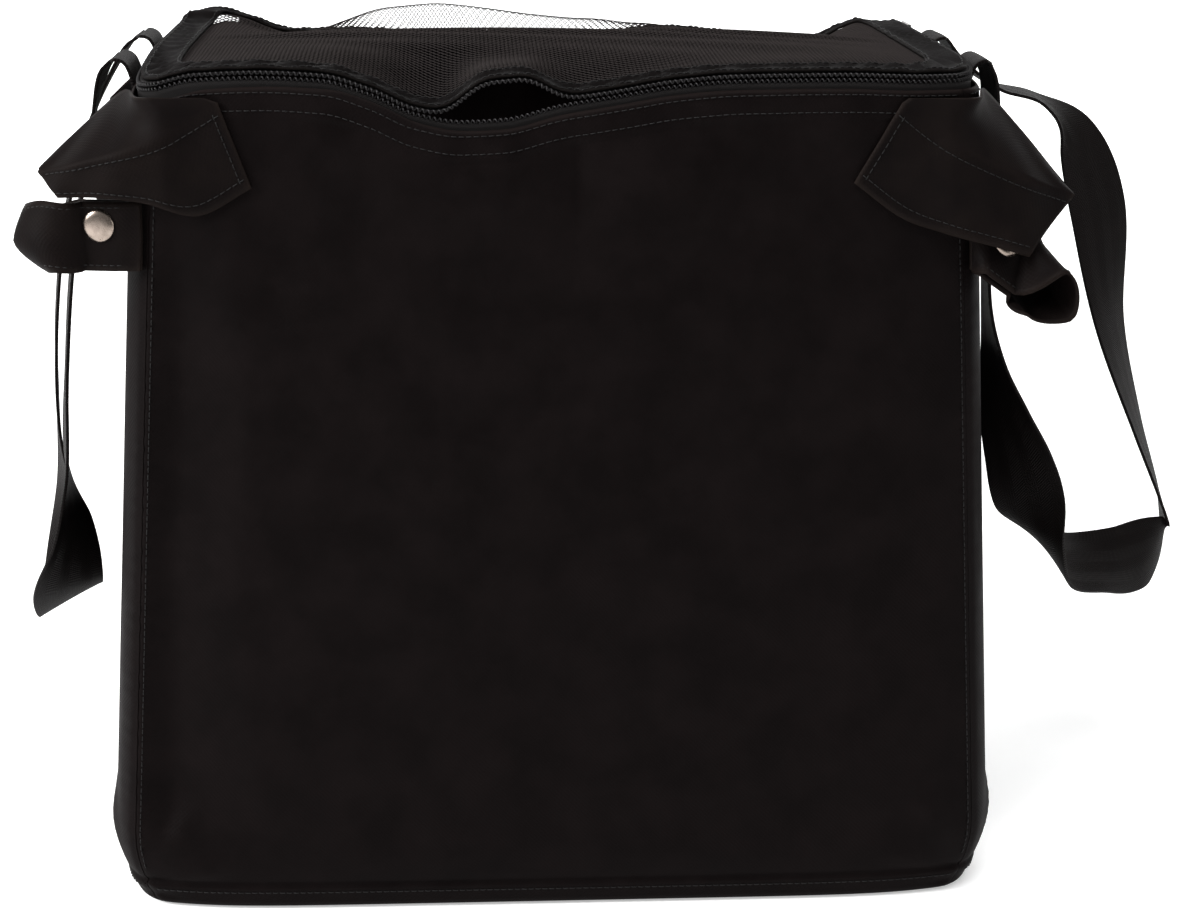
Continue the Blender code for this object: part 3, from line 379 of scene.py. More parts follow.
def mottled(name, low, high, scale, detail, roughness, metallic=0.0, drifts=None, **sockets):
    """A new material that drifts between two colours, and over a range of roughness."""
    made, tree, shader = finish(name, roughness, metallic, **sockets)
    place = node(tree, "ShaderNodeTexCoord")
    cloud = node(tree, "ShaderNodeTexNoise", [("Vector", place.outputs["Object"]), ("Scale", scale),
        ("Detail", detail)])
    node(tree, "ShaderNodeMix", [(0, cloud), (MIX_A, linear(low)), (MIX_B, linear(high))],
        feeds=shader.inputs["Base Color"], data_type="RGBA")
    if drifts:
        node(tree, "ShaderNodeMapRange", [("Value", cloud), ("To Min", drifts[0]),
            ("To Max", drifts[1])], feeds=shader.inputs["Roughness"])
    return made, tree, shader, cloud


def wave(tree, value, pitch, turn=0.0):
    """A cosine of a coordinate in millimetres, one rise for each pitch."""
    turned = node(tree, "ShaderNodeMath", [(0, value), (1, 2 * pi / pitch), (2, turn)],
        operation="MULTIPLY_ADD")
    return node(tree, "ShaderNodeMath", [(0, turned)], operation="COSINE")


def oxford_cloth(name, colour, worn, deep, roughness):
    """Oxford cloth, woven from flat polyester yarn and coated: matt, with a low broad sheen, a
    grain of yarns, and slightly greyer rubbed ridges. The grain is drawn twice as coarse as the
    real 0.55 mm yarn, which wouldn't show."""
    made, tree, shader = finish(name, roughness, Specular_IOR_Level=0.02)
    place = node(tree, "ShaderNodeUVMap", uv_map="cloth")
    split = node(tree, "ShaderNodeSeparateXYZ", [(0, place)])
    pitch = 2 * YARN_PITCH_MM
    warp = wave(tree, split.outputs[0], 2 * pitch)
    weft = wave(tree, split.outputs[1], 2 * pitch)
    grain = node(tree, "ShaderNodeMath", [(0, warp), (1, weft)], operation="MULTIPLY")
    slub = node(tree, "ShaderNodeTexNoise", [("Vector", place), ("Scale", 0.9), ("Detail", 3.0),
        ("Roughness", 0.6)])
    relief = node(tree, "ShaderNodeMath", [(0, grain), (1, 0.5), (2, slub)], operation="MULTIPLY_ADD")
    solid = node(tree, "ShaderNodeTexCoord")
    rub = node(tree, "ShaderNodeTexNoise", [("Vector", solid.outputs["Object"]), ("Scale", 34.0),
        ("Detail", 5.0), ("Roughness", 0.62)])
    speckle = node(tree, "ShaderNodeMath", [(0, relief), (1, 0.12), (2, rub)], operation="MULTIPLY_ADD")
    shade = node(tree, "ShaderNodeMapRange", [("Value", speckle), ("From Min", 0.42),
        ("From Max", 0.76)])
    edge = node(tree, "ShaderNodeNewGeometry")
    ridge = node(tree, "ShaderNodeMapRange", [("Value", edge.outputs["Pointiness"]), ("From Min", 0.52),
        ("From Max", 0.62)])
    base = node(tree, "ShaderNodeMix", [(0, shade), (MIX_A, linear(deep)), (MIX_B, linear(colour))],
        data_type="RGBA")
    node(tree, "ShaderNodeMix", [(0, ridge), (MIX_A, base), (MIX_B, linear(worn))],
        feeds=shader.inputs["Base Color"], data_type="RGBA")
    node(tree, "ShaderNodeMapRange", [("Value", rub), ("From Min", 0.3), ("From Max", 0.75),
        ("To Min", roughness - 0.07), ("To Max", roughness + 0.10)], feeds=shader.inputs["Roughness"])
    node(tree, "ShaderNodeBump", [("Height", relief), ("Strength", 0.35), ("Distance", 0.00022)],
        feeds=shader.inputs["Normal"])
    return made


wall_cloth = oxford_cloth("coated_oxford_cloth", "#100c0c", "#171211", "#0a0707", 0.56)

FRONT_COLUMNS = 100
SIDE_COLUMNS = 76
ROW_BANDS = ((0.0, 0.0115, 8), (0.0115, 0.04, 12), (0.04, 0.93, 84), (0.93, 1.0, 24))
ROUND = {"front": 1, "right": 1, "back": -1, "left": -1}


def along(side, count):
    """Places along a wall the way round the bag, closer together near its seams."""
    return ROUND[side] * np.sin(np.linspace(-pi / 2, pi / 2, count, endpoint=False))


row_shares = [np.linspace(*band, endpoint=band[1] == 1.0) for band in ROW_BANDS]
row_shares = np.concatenate(row_shares)[:, None]
columns, arc = [], []
start = 0.0
for side in ROUND:
    t = along(side, FRONT_COLUMNS if side in LONG_SIDES else SIDE_COLUMNS)
    edge_x, edge_y = wall_frame(side, t, 0.3)
    top = rim_at(edge_x, edge_y) - HEM_BELOW_RIM
    columns.append(wall_skin(side, t[None, :], FOOT_Z + (top - FOOT_Z)[None, :] * row_shares))
    length = 2 * (SEAM_X_BOTTOM if side in LONG_SIDES else SEAM_Y)
    arc.append(start + length * (ROUND[side] * t + 1) / 2)
    start += length
upright = np.concatenate(columns, 1)
around = np.append(np.concatenate(arc), start)
wall_uv = joined(around[None, :], np.append(upright[..., 2], upright[:, :1, 2], 1)) * 1000
foot_x, foot_y, _ = upright[0].T
inward = np.linspace(0.985, 0.10, 12)[:, None]
base = joined(foot_x * inward, foot_y * inward, FOOT_Z + 0.0005 * np.sin(foot_x * 60) * (1 - inward))
base_uv = np.concatenate([base[..., :2], base[:, :1, :2]], 1) * 1000
shell_points = np.concatenate([upright[::-1], base])
shell_uv = np.concatenate([wall_uv[::-1], base_uv])
shell_mesh = sheet_mesh("bag_shell", shell_points, shell_uv, loop=True, end=(0.0, 0.0, 0.0012))
shell = piece("bag_shell", shell_mesh, wall_cloth, "bag",
    ["front_panel", "back_panel", "left_panel", "right_panel", "bottom_panel"])
thicken(shell, CLOTH, 1.0)


# Sewing: black bonded polyester thread in lockstitch rows, two round the rim's turned hem, one
# over the base band, and one down each side of the corner seams. Each stitch is a short bar of
# thread that dives into the cloth at both ends.

STITCH_PITCH = 0.0034
STITCH_LENGTH = 0.0026
THREAD_RADIUS = 0.00028
HEM_ROWS = (0.0025, 0.0105)
SEAM_ROW = 0.0035


def lengths_of(line):
    return np.concatenate([[0.0], np.cumsum(np.linalg.norm(np.diff(line, axis=0), axis=1))])


def between(at, lengths, values):
    """Rows of values read off at given lengths."""
    return np.stack([np.interp(at, lengths, column) for column in values.T], -1)


def unit(vectors):
    return vectors / np.maximum(np.linalg.norm(vectors, axis=-1, keepdims=True), 1e-12)


def stitches(rows):
    """The points and faces of stitch rows, each (line of points, line of outward directions)."""
    vertices, faces = [], []
    for line, outward in rows:
        lengths = lengths_of(line)
        for start in np.arange(STITCH_PITCH / 2, lengths[-1] - STITCH_PITCH, STITCH_PITCH):
            stops = start + STITCH_LENGTH * np.array([0.0, 0.22, 0.78, 1.0])
            middle = between(stops, lengths, line)
            up = unit(between(stops, lengths, outward))
            side = unit(np.cross(up, unit(middle[-1] - middle[0])))
            middle = middle + up * np.array([-0.5, 0.75, 0.75, -0.5])[:, None] * THREAD_RADIUS
            first = len(vertices)
            for m, u, w in zip(middle, up, side):
                for turn in np.arange(6) * pi / 3:
                    vertices.append(m + THREAD_RADIUS * (u * cos(turn) + w * sin(turn)))
            for low in (first, first + 6, first + 12):
                for a in range(6):
                    b = (a + 1) % 6
                    faces.append((low + a, low + b, low + 6 + b, low + 6 + a))
            faces.append(tuple(range(first + 5, first - 1, -1)))
            faces.append(tuple(range(first + 18, first + 24)))
    return vertices, faces


# Bonded polyester thread: twisted, waxed and a little glossier than the cloth
thread = mottled("bonded_sewing_thread", "#060505", "#0b0a0a", 900.0, 1.0, 0.6,
    Specular_IOR_Level=0.2)[0]


def stitch_piece(name, rows, body):
    vertices, faces = stitches(rows)
    mesh = bpy.data.meshes.new(name)
    mesh.from_pydata([tuple(v) for v in vertices], [], faces)
    mesh.shade_smooth()
    return piece(name, mesh, thread, body)


def out_of(side, t, z):
    """A wall's outward direction, from its skin close by."""
    step_t, step_z = 0.004, 0.0012
    a = wall_skin(side, np.clip(t + step_t, -1, 1), z) - wall_skin(side, np.clip(t - step_t, -1, 1), z)
    b = wall_skin(side, t, z + step_z) - wall_skin(side, t, z - step_z)
    normal = unit(np.cross(a, b))
    axis = 1 if side in LONG_SIDES else 0
    return normal * np.sign(normal[..., axis] * OUTWARD[side])[..., None]


def wall_row(side, below_rim=None, height=None, seam=None):
    """A row of stitches on a wall: along its rim, along its foot, or down beside its seam."""
    if seam is not None:
        z = np.linspace(0.020, RIM_HEIGHT - 0.024, 90)
        t = np.sign(seam) * (1 - abs(seam) / wall_length(side, z))
    else:
        t = np.linspace(-0.985, 0.985, 120)
        x, y = wall_frame(side, t, RIM_HEIGHT)
        z = np.full_like(t, height) if below_rim is None else rim_at(x, y) - HEM_BELOW_RIM - below_rim
    return wall_skin(side, t, z), out_of(side, t, z)


hem_rows = [wall_row(side, below_rim=row) for side in FOLDS for row in HEM_ROWS]
stitch_piece("rim_hem_stitches", hem_rows, "bag")
foot_rows = [wall_row(side, height=BASE_TURN_UP - 0.0035) for side in FOLDS]
stitch_piece("base_band_stitches", foot_rows, "bag")
seam_rows = [wall_row(side, seam=way * SEAM_ROW) for side in LONG_SIDES for way in (-1, 1)]
stitch_piece("corner_seam_stitches", seam_rows, "bag")


# Seam bindings: inside each corner the two walls' edges stand in as a fin, wrapped in a folded
# black polyester tape that keeps them from fraying.

BINDING_START = 0.0022
BINDING_END = 0.0100
BINDING_THICKNESS = 0.0016
BINDING_LOW = 0.014
CORNERS = {"front_left": (-1, -1), "front_right": (1, -1), "back_left": (-1, 1), "back_right": (1, 1)}


def woven_tape(name, colour, pitch_mm):
    """Woven polyester tape: matt, with a fine diagonal rib that runs across it."""
    made, tree, shader = finish(name, 0.78, Specular_IOR_Level=0.08)
    place = node(tree, "ShaderNodeUVMap", uv_map="cloth")
    split = node(tree, "ShaderNodeSeparateXYZ", [(0, place)])
    slant = node(tree, "ShaderNodeMath", [(0, split.outputs[0]), (1, 1.0), (2, split.outputs[1])],
        operation="MULTIPLY_ADD")
    rib = wave(tree, slant.outputs[0], pitch_mm)
    pick = wave(tree, split.outputs[0], pitch_mm * 0.7)
    weave = node(tree, "ShaderNodeMath", [(0, pick), (1, 0.4), (2, rib)], operation="MULTIPLY_ADD")
    shade = node(tree, "ShaderNodeMapRange", [("Value", weave), ("From Min", -1.4), ("From Max", 1.4)])
    node(tree, "ShaderNodeMix", [(0, shade), (MIX_A, linear("#0b0a0a")), (MIX_B, linear(colour))],
        feeds=shader.inputs["Base Color"], data_type="RGBA")
    node(tree, "ShaderNodeBump", [("Height", weave), ("Strength", 0.4), ("Distance", 0.0002)],
        feeds=shader.inputs["Normal"])
    return made


tape_cloth = woven_tape("woven_polyester_tape", "#1b1919", 1.1)

for corner, (sign_x, sign_y) in CORNERS.items():
    z = np.linspace(BINDING_LOW, RIM_HEIGHT - 0.016, 90)[:, None]
    depth = np.array([0.0, 0.35, 0.8, 1.0, 0.8, 0.35, 0.0])[None, :]
    spread = np.array([-1.0, -1.0, -0.9, 0.0, 0.9, 1.0, 1.0])[None, :] * BINDING_THICKNESS / 2
    step = (BINDING_START + (BINDING_END - BINDING_START) * depth) / 2**0.5
    bend = 0.0006 * np.sin(z * 90 + sign_x)
    x = sign_x * (seam_x(z) - CLOTH - step + (spread + bend) / 2**0.5)
    y = sign_y * (seam_y(z) - CLOTH - step - (spread + bend) / 2**0.5)
    fin = joined(x, y, z)
    widths = np.cumsum([0.0, 3.0, 3.4, 1.8, 1.8, 3.4, 3.0])
    fin_uv = joined(z * 1000, widths[None, :])
    binding = piece("seam_binding_" + corner + "_tape", sheet_mesh("binding", fin, fin_uv), tape_cloth,
        "bag", ["seam_binding_" + corner])
    thicken(binding, 0.0004)

# The base board: a plate of black solid polypropylene that lies loose on the bottom cloth and
# gives the bag its footprint. Its edges are die cut, and its face has a fine pebble grain.

def recoat(name, material):
    """Gives a carried-over metal or plastic part its material."""
    part = frame["nodes"][name]
    part.data.materials.clear()
    part.data.materials.append(material)
    return part


board, tree, shader, _ = mottled("pebbled_polypropylene", "#141414", "#232324", 26.0, 6.0, 0.62,
    Specular_IOR_Level=0.3)
place = node(tree, "ShaderNodeTexCoord")
pebble = node(tree, "ShaderNodeTexVoronoi", [("Vector", place.outputs["Object"]), ("Scale", 620.0)],
    feature="SMOOTH_F1")
node(tree, "ShaderNodeBump", [("Height", pebble), ("Strength", 0.3), ("Distance", 0.0002)],
    feeds=shader.inputs["Normal"])
recoat("base_board", board)


# The zip: nylon coil sewn to polyester tape, the same on the rim and on the lid. It runs from the
# left side round the front to the right side, and the front is unzipped and gapes.

ZIP_END_Y = 0.0842
LID_ZIP_END_Y = 0.0725
TAPE_THICKNESS = 0.0009
TAPE_INSET = 0.00275
TAPE_FROM_COIL = 0.0008
TAPE_HEIGHT = 0.011
LID_TAPE_WIDTH = 0.0085
COIL_RADIUS = 0.0011
COIL_WIRE = 0.00038
COIL_PITCH = 0.0025
COIL_SPACING = 0.0024
SLIDER_SPREAD = 0.0014


def apart(x, y):
    """How much further the coils stand apart down the right side, which the slider has opened."""
    return SLIDER_SPREAD * ramp(0.178, 0.190, x) * ramp(-0.108, -0.088, y)


def zip_line(end_y, inset, height, lipped=False):
    """The zip's path round the rim, at a height above it; lipped is the lid's side of it."""
    last = end_y / (SEAM_Y - inset)
    sides = np.linspace(last, -1, 70, endpoint=False)
    parts = [wall_frame("left", sides, RIM_HEIGHT, inset)]
    parts.append(wall_frame("front", np.linspace(-1, 1, 200), RIM_HEIGHT, inset))
    parts.append(wall_frame("right", sides[::-1], RIM_HEIGHT, inset))
    x, y = (np.concatenate(values) for values in zip(*parts))
    z = rim_at(x, y) + height
    if lipped:
        z = z + lip_rise(x, y) + apart(x, y)
    return joined(x, y, z)


def crossed(first, second):
    """Every value of one list with every value of another, as a grid of pairs."""
    return np.stack(np.meshgrid(first, second, indexing="ij"), -1)


def coil_mesh(name, line):
    """A flattened helix of nylon wire wound along a line."""
    lengths = lengths_of(line)
    turns = int(lengths[-1] / COIL_PITCH)
    steps = 10
    at = np.linspace(0, lengths[-1], turns * steps + 1)
    core = between(at, lengths, line)
    run = unit(np.gradient(core, axis=0))
    up = np.array([0.0, 0.0, 1.0])
    side = unit(np.cross(run, up))
    high = np.cross(side, run)
    angle = np.arange(len(at)) * 2 * pi / steps
    reach = COIL_RADIUS - COIL_WIRE
    lobe = np.sign(np.cos(angle)) * np.abs(np.cos(angle)) ** 0.6
    wire = core + reach * (side * np.sin(angle)[:, None] * 0.9 + high * lobe[:, None])
    along = unit(np.gradient(wire, axis=0))
    out = unit(wire - core - along * np.sum((wire - core) * along, 1)[:, None])
    rest = np.cross(along, out)
    rings = [wire + COIL_WIRE * (out * cos(a) + rest * sin(a)) for a in np.arange(5) * 2 * pi / 5]
    tube = np.stack(rings, 1)
    flat = crossed(at * 1000, np.arange(6.0))
    mesh = sheet_mesh(name, tube, flat, loop=True)
    work = bmesh.new()
    work.from_mesh(mesh)
    bmesh.ops.holes_fill(work, edges=[e for e in work.edges if e.is_boundary], sides=5)
    work.to_mesh(mesh)
    work.free()
    return mesh


# Drawn nylon monofilament: smooth and half glossy, greyer where sliders rub it
nylon = mottled("drawn_nylon_coil", "#0f0e0f", "#1e1c1d", 70.0, 3.0, 0.42, drifts=(0.36, 0.52),
    Specular_IOR_Level=0.25)[0]


def strip(name, first, second, body, slot):
    """A tape between two lines with as many points each."""
    share = np.linspace(0, 1, 6)
    points = first[None] + (second - first)[None] * share[:, None, None]
    width = np.linalg.norm(second[0] - first[0])
    flat = crossed(share * width * 1000, lengths_of(first) * 1000)
    made = piece(name, sheet_mesh(name, points, flat[..., ::-1]), tape_cloth, body, [slot])
    thicken(made, TAPE_THICKNESS)


rim_coil_line = zip_line(ZIP_END_Y, TAPE_INSET, 0.0)
piece("rim_zip_coil_teeth", coil_mesh("rim_zip_coil_teeth", rim_coil_line), nylon, "bag",
    ["rim_zip_coil"])
tape_top = zip_line(ZIP_END_Y, TAPE_INSET, -TAPE_FROM_COIL)
tape_foot = zip_line(ZIP_END_Y, TAPE_INSET, -TAPE_FROM_COIL - TAPE_HEIGHT)
strip("rim_zip_tape_woven", tape_top, tape_foot, "bag", "rim_zip_tape")

lid_coil_line = zip_line(LID_ZIP_END_Y, TAPE_INSET, COIL_SPACING, True)
piece("lid_zip_coil_teeth", coil_mesh("lid_zip_coil_teeth", lid_coil_line), nylon, "lid",
    ["lid_zip_coil"])
LID_EDGE_INSET = TAPE_INSET + COIL_RADIUS + 0.0003
lid_tape_inset = TAPE_INSET + TAPE_FROM_COIL
outer = zip_line(LID_ZIP_END_Y, lid_tape_inset, COIL_SPACING, True)
inner = zip_line(LID_ZIP_END_Y, lid_tape_inset + LID_TAPE_WIDTH, COIL_SPACING, True)
strip("lid_zip_tape_woven", outer, inner, "lid", "lid_zip_tape")

# The slider, its pull tab and the two end stops are die-cast zinc with a black enamel, worn to
# grey on the edges that fingers and teeth rub.

enamel, tree, shader = finish("black_enamelled_zinc", 0.30, 0.85)
place = node(tree, "ShaderNodeTexCoord")
worn = node(tree, "ShaderNodeNewGeometry")
edge = node(tree, "ShaderNodeMapRange", [("Value", worn.outputs["Pointiness"]), ("From Min", 0.52),
    ("From Max", 0.60)])
speck = node(tree, "ShaderNodeTexNoise", [("Vector", place.outputs["Object"]), ("Scale", 700.0),
    ("Detail", 3.0)])
mask = node(tree, "ShaderNodeMath", [(0, edge), (1, speck)], operation="MULTIPLY")
node(tree, "ShaderNodeMix", [(0, mask), (MIX_A, linear("#1e1e20")), (MIX_B, linear("#8a8784"))],
    feeds=shader.inputs["Base Color"], data_type="RGBA")
node(tree, "ShaderNodeMapRange", [("Value", speck), ("To Min", 0.22), ("To Max", 0.42)],
    feeds=shader.inputs["Roughness"])
for name in ("zip_slider", "zip_pull", "zip_stop_left", "zip_stop_right"):
    rounded = recoat(name, enamel).modifiers.new("rounded", "BEVEL")
    rounded.width = 0.0003
    rounded.segments = 2
    rounded.angle_limit = radians(40)


# The lid's border: a ring of coated cloth with both edges turned and sewn, which joins the lid's
# zip tape to its net. It is longer than the zip that it is eased onto, so it puckers.

BORDER_WIDTH = 0.017
BORDER_THICKNESS = 0.0013
BORDER_STITCH_ROWS = (2, 8)
BORDER_PUCKER = 0.0010
BORDER_HEM = 0.0005
HINGE_Y = SEAM_Y + CORNER_ROUND - TAPE_INSET
LID_SURFACE = RIM_HEIGHT + COIL_SPACING + 0.0012
NET_DOME = 0.0055
NET_RIDGE_Y = 0.100
NET_RIDGE_WIDTH = 0.0095
NET_RIDGE = (
    (-200, 0), (-185, 3.5), (-165, 2), (-140, 1), (-120, 3), (-106, 7), (-82, 14.5), (-55, 18),
    (-30, 16.5), (-12, 14.8), (9, 13), (29, 10.8), (52, 5), (72, 1.2), (95, 0.5), (160, 0), (174, 1),
    (200, 0),
)


def lid_height(x, y):
    """The lid's surface: the zip line's wave at its edge, a low dome over the middle, a hollow
    behind it, and the ridge where the slack net stands up in front of the back edge."""
    u, v = x / 0.180, y / 0.124
    dome = NET_DOME * np.clip((1 - u * u) * (1 - v * v), 0.0, 1.0) ** 0.7
    ridge = through(x, NET_RIDGE) * hill(y, NET_RIDGE_Y, NET_RIDGE_WIDTH)
    slack = 0.0011 * np.sin(46 * x + 9 * np.sin(21 * y)) * np.sin(38 * y + 1.2)
    inside = np.clip((1 - u**4) * (1 - v**4), 0.0, 1.0)
    back = (y + SEAM_Y) / (2 * SEAM_Y)
    hollow = through(x, BACK_DROOP) * (ramp(0.50, 0.95, back) - ramp(0.80, 1.0, back))
    edge = LID_SURFACE - edge_droop(x, y) + lip_rise(x, y) + apart(x, y)
    return edge + dome + ridge + slack * inside - hollow * ramp(0.176, 0.150, np.abs(x))


def lid_line(inset, count):
    """The lid's outline at an inset, anticlockwise from above, with its straight back edge."""
    places = [wall_frame(side, along(side, count), RIM_HEIGHT, LID_EDGE_INSET + inset)
        for side in ROUND]
    x, y = np.concatenate(places, 1)
    return x, np.minimum(y, HINGE_Y - inset)


border_cloth = oxford_cloth("lid_border_oxford_cloth", "#0c0a0a", "#12100f", "#080606", 0.70)
rows, row_uv = [], []
for share in (0.0, 0.04, 0.12, 0.25, 0.40, 0.55, 0.70, 0.82, 0.92, 0.97, 1.0):
    x, y = lid_line(BORDER_WIDTH * share, 120)
    arc = lengths_of(joined(x, y))
    pucker = np.sin(arc * 430 + 2.1 * np.sin(arc * 61)) * (0.35 + 0.65 * np.sin(arc * 23) ** 2)
    swell = BORDER_PUCKER * pucker * sin(pi * share) ** 0.5
    hem = BORDER_HEM * (hill(share, 0.10, 0.10) + hill(share, 0.88, 0.10))
    rows.append(joined(x, y, lid_height(x, y) + 0.0006 + swell + hem))
    row_uv.append(joined(np.append(arc, arc[-1] + 0.003), BORDER_WIDTH * share))
border_points = np.stack(rows)
border_mesh = sheet_mesh("lid_border_cloth", border_points, np.stack(row_uv) * 1000, loop=True)
lid_border = piece("lid_border_cloth", border_mesh, border_cloth, "lid", ["lid_border"])
thicken(lid_border, BORDER_THICKNESS)
up = np.array([0.0, 0.0, 1.0])
border_rows = [(border_points[k] + up * BORDER_THICKNESS / 2, up + 0 * border_points[k])
    for k in BORDER_STITCH_ROWS]
border_stitches = stitch_piece("lid_border_stitches", border_rows, "lid")

# The net: warp-knitted polyester mesh with open diamond holes, sewn under the border. It is
# slack: its middle stands up in a low dome, and a ridge of it in front of the back edge.

NET_THREAD = 0.00055
NET_HOLE_X = 0.0039
NET_HOLE_Y = 0.0038
NET_UNDER_BORDER = 0.0045
NET_EDGE = BORDER_WIDTH - NET_UNDER_BORDER

# Warp-knitted polyester: matt looped yarn, greyer where light catches its twist
knit, tree, shader, loops = mottled("knitted_polyester_net", "#141111", "#2a2524", 1100.0, 2.0, 0.7,
    Specular_IOR_Level=0.10)
node(tree, "ShaderNodeBump", [("Height", loops), ("Strength", 0.4), ("Distance", 0.0002)],
    feeds=shader.inputs["Normal"])


def inside_lid(x, y, inset):
    """Whether a place is within the lid's outline drawn in by an inset."""
    half_x = SEAM_X_TOP - LID_EDGE_INSET - inset
    half_y = SEAM_Y - LID_EDGE_INSET - inset
    side = half_x + SIDE_ROUND * (1 - np.minimum(1.0, np.abs(y / half_y)) ** 10)
    front = half_y + CORNER_ROUND * (1 - np.minimum(1.0, np.abs(x / half_x)) ** 8)
    back = np.minimum(front, HINGE_Y - inset)
    return (np.abs(x) < side) & (y > -front) & (y < back)


count_x = int(0.22 / (NET_HOLE_X / 2))
count_y = int(0.15 / (NET_HOLE_Y / 2))
i, j = np.meshgrid(np.arange(-count_x, count_x + 1), np.arange(-count_y, count_y + 1), indexing="ij")
x, y = i * NET_HOLE_X / 2, j * NET_HOLE_Y / 2
knot = (i + j) % 2 == 0
kept = inside_lid(x, y, NET_EDGE) & knot
number = np.full(i.shape, -1)
number[kept] = np.arange(kept.sum())
z = lid_height(x[kept], y[kept]) - 0.0004
hole = ~knot[1:-1, 1:-1]
around_hole = [number[:-2, 1:-1], number[1:-1, :-2], number[2:, 1:-1], number[1:-1, 2:]]
diamonds = np.stack([a[hole] for a in around_hole], -1)
diamonds = diamonds[(diamonds >= 0).all(1)]
net_mesh = bpy.data.meshes.new("lid_net_mesh")
net_mesh.from_pydata(joined(x[kept], y[kept], z).tolist(), [], diamonds.tolist())
work = bmesh.new()
work.from_mesh(net_mesh)
bmesh.ops.delete(work, geom=[v for v in work.verts if not v.link_faces], context="VERTS")
work.to_mesh(net_mesh)
work.free()
lid_net = piece("lid_net_knitted", net_mesh, knit, "lid", ["lid_net"])
threads = lid_net.modifiers.new("threads", "WIREFRAME")
threads.thickness = NET_THREAD
threads.offset = 0.0
threads.use_boundary = True
threads.use_even_offset = False

# The hinge tape: woven tape sewn inside the back wall and under the lid's back edge, where the lid
# turns over.

HINGE_TAPE_HALF_LENGTH = 0.166
HINGE_TAPE_WIDTH = 0.029
HINGE_TAPE_LOW = RIM_HEIGHT - 0.0255
x = np.linspace(-HINGE_TAPE_HALF_LENGTH, HINGE_TAPE_HALF_LENGTH, 120)
_, y = wall_frame("back", x / SEAM_X_TOP, RIM_HEIGHT, TAPE_INSET)
high = lid_height(x, np.full_like(x, HINGE_Y)) - 0.0004
share = np.linspace(0, 1, 17)[:, None]
hinge_points = joined(x, y, HINGE_TAPE_LOW + (high - HINGE_TAPE_LOW) * share)
hinge_uv = joined(x, HINGE_TAPE_WIDTH * share) * 1000
hinge_tape = placed("lid_hinge_tape_woven", sheet_mesh("hinge_tape", hinge_points, hinge_uv),
    tape_cloth)
thicken(hinge_tape, TAPE_THICKNESS)
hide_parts("lid_hinge_tape")
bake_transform(hinge_tape)


# The corner hoods: pockets of the wall cloth that slip over the ends of the cart's arms. Each is
# one panel, sewn to the front and the side at its inner edges, folded along a sloping ridge with
# a turned hem, and open below.

HOOD_CLOTH = 0.0013
HOOD_SEAT = 0.0003
HOOD_SEWN_TO = 0.150
HOOD_FREE_FROM = 0.178
HOOD_COLUMNS = 49
HOOD_ROWS = 33
HOOD_PUFF = 0.0016
HOOD_RIPPLE = 0.0007
HOOD_HEM = 0.0005
# Each edge of a hood, from its sewn end to its tip: (past the seam, out, below the rim) in mm
HOOD_SHAPES = {
    "left": {
        "lower": ((-45, 2, 47), (-21, 2, 59.5), (1, 1, 54), (21, -2, 51.5), (43, -9, 52.5)),
        "ridge": ((-31, 2, 8.5), (-15, 2, 18), (2, 2.5, 27), (29, -3, 35.5), (53, -18, 42.5)),
        "upper": ((-25, 2, 6.5), (-8, 0, 6.5), (6, -6, 7), (18, -42, 10), (51, -21, 39.5)),
    },
    "right": {
        "lower": ((-51, 2, 45), (-29, 2, 61), (-9, 2, 68), (17, -2, 66), (41, -8, 68)),
        "ridge": ((-30, 2, 8.5), (-14, 2, 21), (3, 2.5, 31), (31, -3, 44), (56, -18, 54)),
        "upper": ((-27, 2, 6.5), (-8, 0, 6.5), (7, -6, 7), (19, -42, 10), (54, -21, 51)),
    },
}
HOOD_SHAPES["front_right"] = HOOD_SHAPES["right"] | {
    "lower": ((-51, 2, 45), (-29, 2, 61), (-9, 2, 68), (17, 4, 75), (31.5, 2, 79.5)),
}


def hood_shape(corner):
    side = "left" if CORNERS[corner][0] < 0 else "right"
    return HOOD_SHAPES.get(corner, HOOD_SHAPES[side])


def smooth_rows(rows, count):
    """Rows spaced evenly along a smooth curve; the first three of each row are its place."""
    knots = np.array(rows, float)
    ends = np.vstack([2 * knots[0] - knots[1], knots, 2 * knots[-1] - knots[-2]])
    fine = []
    for a, b, c, d in zip(ends, ends[1:], ends[2:], ends[3:]):
        for t in np.linspace(0, 1, 12, endpoint=False):
            bend = (2 * a - 5 * b + 4 * c - d) * t**2 + (3 * b - a - 3 * c + d) * t**3
            fine.append(0.5 * (2 * b + (c - a) * t + bend))
    table = np.array(fine + [knots[-1]])
    lengths = lengths_of(table[:, :3])
    return between(np.linspace(0.0, lengths[-1], count), lengths, table)


